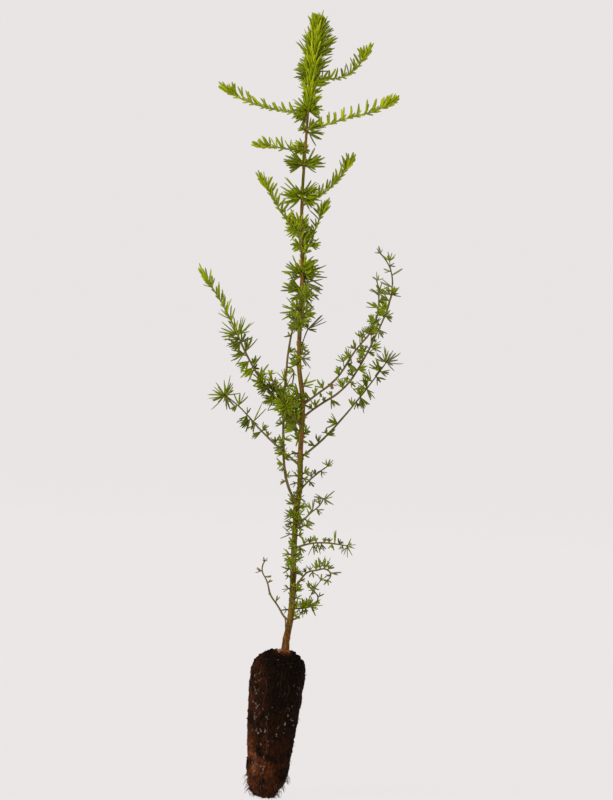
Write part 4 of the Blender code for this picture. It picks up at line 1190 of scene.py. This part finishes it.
def nodeGroup(name, inputs, outputs):
    # a new shader node group: inputs are name -> starting value, outputs name -> kind of socket
    made = bpy.data.node_groups.new(name, "ShaderNodeTree")
    for label, value in inputs.items():
        kind = "NodeSocketColor" if isinstance(value, tuple) else "NodeSocketFloat"
        socket = made.interface.new_socket(name=label, in_out="INPUT", socket_type=kind)
        socket.default_value = value
    for label, kind in outputs.items():
        made.interface.new_socket(name=label, in_out="OUTPUT", socket_type=kind)
    source, sink = made.nodes.new("NodeGroupInput"), made.nodes.new("NodeGroupOutput")
    return made, source.outputs, sink.inputs


def addNode(tree, kind, settings=None, **values):
    # a node of this kind with its settings and the values of its sockets; a socket as a value is linked
    node = tree.nodes.new(kind)
    for key, value in (settings or {}).items():
        setattr(node, key, value)
    for key, value in values.items():
        target = node.inputs[int(key[1:])] if key[0] == "_" else node.inputs[key.replace("_", " ")]
        if isinstance(value, bpy.types.NodeSocket):
            tree.links.new(value, target)
        else:
            target.default_value = value
    return node


def whereabouts(tree):
    # the place of a point of the surface, whole and as X, Y and Z
    place = addNode(tree, "ShaderNodeTexCoord").outputs["Object"]
    return place, addNode(tree, "ShaderNodeSeparateXYZ", Vector=place).outputs


def joined(tree, x, y, z):
    return addNode(tree, "ShaderNodeCombineXYZ", X=x, Y=y, Z=z).outputs[0]


def calculated(tree, operation, first, second):
    return addNode(tree, "ShaderNodeMath", {"operation": operation}, _0=first, _1=second).outputs[0]


def cloud(tree, place, scale, detail, rough=0.5):
    values = dict(Vector=place, Scale=scale, Detail=detail, Roughness=rough)
    return addNode(tree, "ShaderNodeTexNoise", **values).outputs[0]


def fade(tree, value, start, end, full=1.0, none=0.0):
    # goes from none to full while the value goes from start to end
    values = dict(From_Min=start, From_Max=end, To_Min=none, To_Max=full)
    return addNode(tree, "ShaderNodeMapRange", Value=value, **values).outputs[0]


def fadeRound(tree, place, middle, *span):
    # the same, by the distance from a point
    away = addNode(tree, "ShaderNodeVectorMath", {"operation": "DISTANCE"}, _0=place, _1=middle)
    return fade(tree, away.outputs["Value"], *span)


def mixed(tree, share, first, second):
    return addNode(tree, "ShaderNodeMix", {"data_type": "RGBA"}, _0=share, _6=first, _7=second).outputs[2]


def makeMottleGroup():
    # a colour that drifts between a darker and a lighter one, by patches of a given size
    tree, given, wanted = nodeGroup(
        "mottled colour",
        {"Colour": (0.5, 0.5, 0.5, 1), "Dark": (0.2, 0.2, 0.2, 1), "Light": (0.8, 0.8, 0.8, 1),
         "Patches": 300.0, "Contrast": 0.5},
        {"Colour": "NodeSocketColor", "Mask": "NodeSocketFloat"},
    )
    place = addNode(tree, "ShaderNodeTexCoord").outputs["Object"]
    broad = cloud(tree, place, given["Patches"], 3.0, 0.6)
    fine = cloud(tree, place, calculated(tree, "MULTIPLY", given["Patches"], 4.3), 2.0)
    low = calculated(tree, "MULTIPLY", fade(tree, broad, 0.52, 0.30), given["Contrast"])
    high = calculated(tree, "MULTIPLY", fade(tree, fine, 0.50, 0.72), given["Contrast"])
    darker = mixed(tree, low, given["Colour"], given["Dark"])
    tree.links.new(mixed(tree, high, darker, given["Light"]), wanted["Colour"])
    tree.links.new(broad, wanted["Mask"])
    return tree


def makeGrainGroup():
    # fine relief, drawn out along the height: a height for Bump and a roughness to go with it
    tree, given, wanted = nodeGroup(
        "drawn-out grain",
        {"Scale": 900.0, "Stretch": 0.25, "Smoothest": 0.5, "Roughest": 0.8},
        {"Height": "NodeSocketFloat", "Roughness": "NodeSocketFloat"},
    )
    _, parts = whereabouts(tree)
    drawn = joined(tree, parts["X"], parts["Y"], calculated(tree, "MULTIPLY", parts["Z"], given["Stretch"]))
    lines = cloud(tree, drawn, given["Scale"], 4.0, 0.65)
    rough = fade(tree, lines, 0.3, 0.7, given["Roughest"], given["Smoothest"])
    tree.links.new(lines, wanted["Height"])
    tree.links.new(rough, wanted["Roughness"])
    return tree


mottle, grain = makeMottleGroup(), makeGrainGroup()


def startMaterial(name):
    material = bpy.data.materials.new(name)
    material.use_nodes = True
    return material, material.node_tree, material.node_tree.nodes["Principled BSDF"].inputs


def opaque(colour):
    return (*colour, 1.0)


def mottled(tree, colour, dark, light, look):
    colours = dict(Colour=colour, Dark=dark, Light=light)
    values = dict(Patches=look["patches"], Contrast=look["contrast"])
    return addNode(tree, "ShaderNodeGroup", {"node_tree": mottle}, **colours, **values).outputs["Colour"]


def grained(tree, look):
    scale, stretch, smoothest, roughest = look["grain"]
    values = dict(Scale=scale, Stretch=stretch, Smoothest=smoothest, Roughest=roughest)
    return addNode(tree, "ShaderNodeGroup", {"node_tree": grain}, **values).outputs


def coat(tree, surface, colour, lines, look):
    # the surface's colour, roughness, relief and sheen
    strength, distance = look["relief"]
    bump = addNode(tree, "ShaderNodeBump", Strength=strength, Distance=distance, Height=lines["Height"])
    tree.links.new(colour, surface["Base Color"])
    tree.links.new(lines["Roughness"], surface["Roughness"])
    tree.links.new(bump.outputs[0], surface["Normal"])
    surface["Specular IOR Level"].default_value = look["sheen"]
    surface["Specular Tint"].default_value = opaque(look["sheenColour"])


# In each look: patches is how small the patches are; grain is how fine, how drawn out (less than 1 = along
# the height), smoothest and roughest; relief is its strength and height.
needleLook = dict(
    dark=(0.52, 0.62, 0.75), light=(1.35, 1.30, 1.30),  # of the patches, as shares of the tint
    patches=260.0, contrast=0.75, grain=(2600.0, 0.3, 0.36, 0.62), relief=(0.25, 0.0002),
    sheen=0.07, sheenColour=(0.85, 1.0, 0.30),
)


def needleFinish(name, colour):
    material, tree, surface = startMaterial(name)
    dark = opaque(c * f for c, f in zip(colour, needleLook["dark"]))
    light = opaque(min(1, c * f) for c, f in zip(colour, needleLook["light"]))
    shade = mottled(tree, opaque(colour), dark, light, needleLook)
    coat(tree, surface, shade, grained(tree, needleLook), needleLook)
    return material


stemLook = dict(
    foot=(0.165, 0.056, 0.013), low=(0.179, 0.090, 0.016), high=(0.294, 0.179, 0.025),
    footTo=(0.15, 0.20), lowTo=(0.36, 0.70),  # heights over which one gives way to the next
    moss=(0.115, 0.130, 0.006), shade=(0.052, 0.036, 0.008),
    bands=42.0, shorter=3.0,  # how fine the bands of moss and shade are, and how much more sideways
    mossBands=(0.50, 0.62, 0.9),  # noise where they start and are full, and how much there is of them
    shadeBands=(0.46, 0.36, 0.8),
    mossFrom=(0.172, 0.198),  # heights over which moss sets in
    evenMoss=(0.32, 0.35, 0.0, 0.65),  # heights over which the moss between the bands ends
    # paintedHighlight: a painted highlight, the bright orange of lit bark, laid on small random patches of
    # the stem
    crack=(0.020, 0.009, 0.003), cracks=(0.47, 0.33, 0.85), paintedHighlight=(0.420, 0.200, 0.055),
    patches=170.0, contrast=0.55, grain=(820.0, 0.10, 0.58, 0.86), relief=(0.7, 0.0004),
    sheen=0.06, sheenColour=(1.0, 0.8, 0.5),
)


def stemFinish():
    # red-brown at the foot, orange-brown above, olive towards the tip, with bands of green and dark cracks
    material, tree, surface = startMaterial("stem bark")
    colours = {name: opaque(stemLook[name])
               for name in ("foot", "low", "high", "moss", "shade", "crack", "paintedHighlight")}
    _, parts = whereabouts(tree)
    z = parts["Z"]
    whole = mixed(tree, fade(tree, z, *stemLook["footTo"]), colours["foot"], colours["low"])
    whole = mixed(tree, fade(tree, z, *stemLook["lowTo"]), whole, colours["high"])
    flat = joined(tree, calculated(tree, "MULTIPLY", parts["X"], stemLook["shorter"]), parts["Y"], z)
    bands = cloud(tree, flat, stemLook["bands"], 2.0)
    moss = calculated(tree, "MAXIMUM", fade(tree, bands, *stemLook["mossBands"]),
                      fade(tree, z, *stemLook["evenMoss"]))
    moss = calculated(tree, "MULTIPLY", moss, fade(tree, z, *stemLook["mossFrom"]))
    banded = mixed(tree, moss, whole, colours["moss"])
    banded = mixed(tree, fade(tree, bands, *stemLook["shadeBands"]), banded, colours["shade"])
    # small patches of painted shade (darker) and painted highlight (bright orange) over the bark colour
    patches = mottled(tree, banded, colours["shade"], colours["paintedHighlight"], stemLook)
    lines = grained(tree, stemLook)
    cracks = fade(tree, lines["Height"], *stemLook["cracks"])
    coat(tree, surface, mixed(tree, cracks, patches, colours["crack"]), lines, stemLook)
    return material


peatLook = dict(
    black=(0.0042, 0.0025, 0.0017), brown=(0.0160, 0.0072, 0.0034), red=(0.2150, 0.0530, 0.0125),
    pale=(0.1100, 0.0750, 0.0550),
    low=(0.100, 0.0, 0.30),  # rust fibre: the height where it starts and is full, and how much of it
    left=(0.0, -0.022, 0.32),  # the same, by distance to the right
    corner=((-0.026, -0.010, 0.030), 0.040, 0.010, 0.95),  # the same, round a point
    collar=((0.008, -0.004, 0.148), 0.011, 0.005, 0.35),
    fibres=420.0, drawn=0.45, fibre=(0.40, 0.60, 1.0, 0.12),
    drifts=60.0, drift=(0.40, 0.56),
    specks=760.0, speck=(0.70, 0.76, 0.6),
    patches=330.0, contrast=0.9, grain=(1500.0, 0.9, 0.72, 1.0), relief=(0.8, 0.0006),
    sheen=0.04, sheenColour=(1.0, 0.8, 0.6),
)


def peatFinish():
    # near-black crumbs above, rust-brown fibre towards the foot and the left, with a few pale specks
    material, tree, surface = startMaterial("damp peat")
    black, brown, red, pale = (opaque(peatLook[name]) for name in ("black", "brown", "red", "pale"))
    place, parts = whereabouts(tree)
    patches = mottled(tree, black, black, brown, peatLook)
    sides = calculated(tree, "ADD", fade(tree, parts["X"], *peatLook["left"]),
                       fadeRound(tree, place, *peatLook["corner"]))
    rust = calculated(tree, "ADD", fade(tree, parts["Z"], *peatLook["low"]), sides)
    tall = calculated(tree, "MULTIPLY", parts["Z"], peatLook["drawn"])
    fibres = cloud(tree, joined(tree, parts["X"], parts["Y"], tall), peatLook["fibres"], 5.0, 0.65)
    drifts = cloud(tree, place, peatLook["drifts"], 3.0, 0.6)
    some = calculated(tree, "MULTIPLY", fade(tree, drifts, *peatLook["drift"]),
                      fade(tree, fibres, *peatLook["fibre"]))
    rust = calculated(tree, "MULTIPLY", rust, some)
    rust = calculated(tree, "MAXIMUM", rust, fadeRound(tree, place, *peatLook["collar"]))
    specks = fade(tree, cloud(tree, place, peatLook["specks"], 1.0), *peatLook["speck"])
    colour = mixed(tree, specks, mixed(tree, rust, patches, red), pale)
    coat(tree, surface, colour, grained(tree, peatLook), peatLook)
    return material


# Twigs, spurs, roots and crumbs: colour, darker, lighter, how small the patches are, how fine the grain is.
woodColours = {
    "brown twig bark": ((0.150, 0.114, 0.032), (0.062, 0.046, 0.017), (0.270, 0.208, 0.068), 260.0, 1500.0),
    "green twig bark": ((0.230, 0.250, 0.045), (0.140, 0.120, 0.030), (0.340, 0.350, 0.090), 220.0, 1800.0),
    "bud scales": ((0.095, 0.055, 0.016), (0.035, 0.020, 0.008), (0.200, 0.120, 0.045), 500.0, 2200.0),
    "peat crumbs": ((0.013, 0.0065, 0.004), (0.006, 0.0035, 0.0025), (0.050, 0.022, 0.011), 160.0, 1400.0),
    "pale grit": ((0.165, 0.128, 0.104), (0.060, 0.042, 0.033), (0.310, 0.262, 0.230), 600.0, 1400.0),
    "brown roots": ((0.030, 0.013, 0.007), (0.012, 0.006, 0.004), (0.070, 0.034, 0.018), 240.0, 1800.0),
    "pale roots": ((0.100, 0.068, 0.048), (0.040, 0.024, 0.015), (0.230, 0.180, 0.140), 240.0, 1800.0),
    "collar root bark": ((0.26, 0.14, 0.07), (0.11, 0.05, 0.024), (0.40, 0.26, 0.15), 260.0, 1200.0),
}
woodLook = dict(contrast=0.7, relief=(0.5, 0.0003), sheen=0.08, sheenColour=(1.0, 0.85, 0.6))
woodGrain = (0.35, 0.5, 0.82)  # how drawn out, smoothest, roughest


def woodFinish(name):
    material, tree, surface = startMaterial(name)
    *colours, patches, fineness = woodColours[name]
    look = dict(woodLook, patches=patches, grain=(fineness, *woodGrain))
    shade = mottled(tree, *map(opaque, colours), look)
    coat(tree, surface, shade, grained(tree, look), look)
    return material


def nodesFor(*starts):
    return [name for name in sorted(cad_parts) if name.startswith(starts)]


crownNodes = {
    "leader": ["leader_mass"],
    "upper": nodesFor("mass_upper", "whorl_1", "whorl_2", "whorl_3"),
    "middle": nodesFor("mass_middle", "whorl_4"),
    "lower": nodesFor("mass_lower", "whorl_5"),
}
crownSlots = dict(
    leader="needles_upper", upper="needles_upper", middle="needles_middle", lower="needles_lower",
)
needleMaterials = {tint: needleFinish(f"{tint} needles", colour) for tint, colour in tints.items()}
for (crown, tint), rows in sorted(needleRows.items()):
    addPiece(f"needles_{crown}_{tint}", [needleParts(rows)], needleMaterials[tint], crownSlots[crown],
             crownNodes[crown])
addPiece("stem_bark", [makeStem()], stemFinish(), "trunk_bark", ["trunk"])
for name, parts, finish, boughs in (
    ("twigs_brown", brownTwigs, "brown twig bark", ("bough_middle", "bough_lower")),
    ("twigs_green", greenTwigs, "green twig bark", ("bough_upper",)),
    ("spurs", spurParts, "bud scales", ("bough_",)),
):
    addPiece(name, parts, woodFinish(finish), "bough_bark", nodesFor(*boughs))
addPiece("root_ball_peat", [makePlug()], peatFinish(), "peat", ["root_ball"])
loose = random.Random("crumbs")
crumbs = scatterCrumbs(crumbHabit["count"], crumbHabit["size"], loose)
grit = scatterPale(loose)
brownRoots, paleRoots = rootStrands(random.Random("roots"))
for name, parts, finish, slotName in (
    ("peat_crumbs", crumbs, "peat crumbs", "peat"),
    ("pale_grit", grit, "pale grit", "peat"),
    ("brown_roots", brownRoots, "brown roots", "peat"),
    ("pale_roots", paleRoots, "pale roots", "peat"),
    ("collar_roots", collarRoots(), "collar root bark", "trunk_bark"),
):
    addPiece(name, parts, woodFinish(finish), slotName, ["root_ball"])


studio = dict(
    floorRadius=4.6, bend=1.6, wall=3.4, around=96, bendSteps=12,
    colour=(0.020, 0.019, 0.019), glowColour=(0.823, 0.783, 0.783), glow=0.977, sky=0.45,
    key=dict(place=(-2.6, -1.7, 2.7), size=1.3, watts=84),
    fill=dict(place=(2.6, -2.6, 1.4), size=2.4, watts=4),
    aim=(0, 0, 0.4),  # where both lights point
)


def link(name, data):
    # a new object of the scene
    made = bpy.data.objects.new(name, data)
    bpy.context.scene.collection.objects.link(made)
    return made


def makeStudio():
    # a round pale floor that curves up into a wall all the way round
    radius, bend, around = studio["floorRadius"], studio["bend"], studio["around"]
    profile = [(0, 0), (radius * 0.3, 0), (radius, 0)]
    for step in range(1, studio["bendSteps"] + 1):
        angle = pi / 2 * step / studio["bendSteps"]
        profile.append((radius + bend * sin(angle), bend * (1 - cos(angle))))
    profile.append((profile[-1][0], studio["wall"]))
    points = [(r * cos(2 * pi * s / around), r * sin(2 * pi * s / around), z)
              for r, z in profile for s in range(around)]
    faces, _ = skin(len(profile), around, 0, 0, 0)
    mesh = bpy.data.meshes.new("studio_floor")
    mesh.from_pydata(points, [], faces.tolist())
    mesh.shade_smooth()
    floor = link("studio_floor", mesh)
    material, _, surface = startMaterial("pale paper")
    for socket, value in (("Base Color", opaque(studio["colour"])), ("Roughness", 0.9),
                          ("Specular IOR Level", 0.1), ("Emission Color", opaque(studio["glowColour"])),
                          ("Emission Strength", studio["glow"])):
        surface[socket].default_value = value
    mesh.materials.append(material)


def makeLight(name, place, size, watts):
    light = bpy.data.lights.new(name, "AREA")
    light.shape = "DISK"
    light.size = size
    light.energy = watts
    lamp = link(name, light)
    lamp.location = place
    lamp.rotation_mode = "QUATERNION"
    lamp.rotation_quaternion = (Vector(studio["aim"]) - Vector(place)).to_track_quat("-Z", "Y")


shot = dict(eye=(0.0165, -2.267, 0.4067), lens=100, sensor=36, tilt=3.5)  # tilt: degrees of roll


def makeCamera():
    camera = bpy.data.cameras.new("camera")
    camera.lens = shot["lens"]
    camera.sensor_width = shot["sensor"]
    camera.sensor_fit = "AUTO"
    holder = link("camera", camera)
    roll = radians(shot["tilt"])
    right, up = Vector((cos(roll), 0, sin(roll))), Vector((-sin(roll), 0, cos(roll)))
    turned = Matrix((right, up, Vector((0, -1, 0)))).transposed().to_4x4()
    turned.translation = Vector(shot["eye"])
    holder.matrix_world = turned
    bpy.context.scene.camera = holder


makeStudio()
for name in ("key", "fill"):
    makeLight(name, **studio[name])
world = bpy.data.worlds.new("studio")
world.use_nodes = True
sky = world.node_tree.nodes["Background"].inputs
sky["Color"].default_value = opaque(studio["glowColour"])
sky["Strength"].default_value = studio["sky"]
bpy.context.scene.world = world
bpy.context.scene.view_settings.view_transform = "Standard"
makeCamera()
print("studio and camera are in place")

bpy.context.view_layer.update()
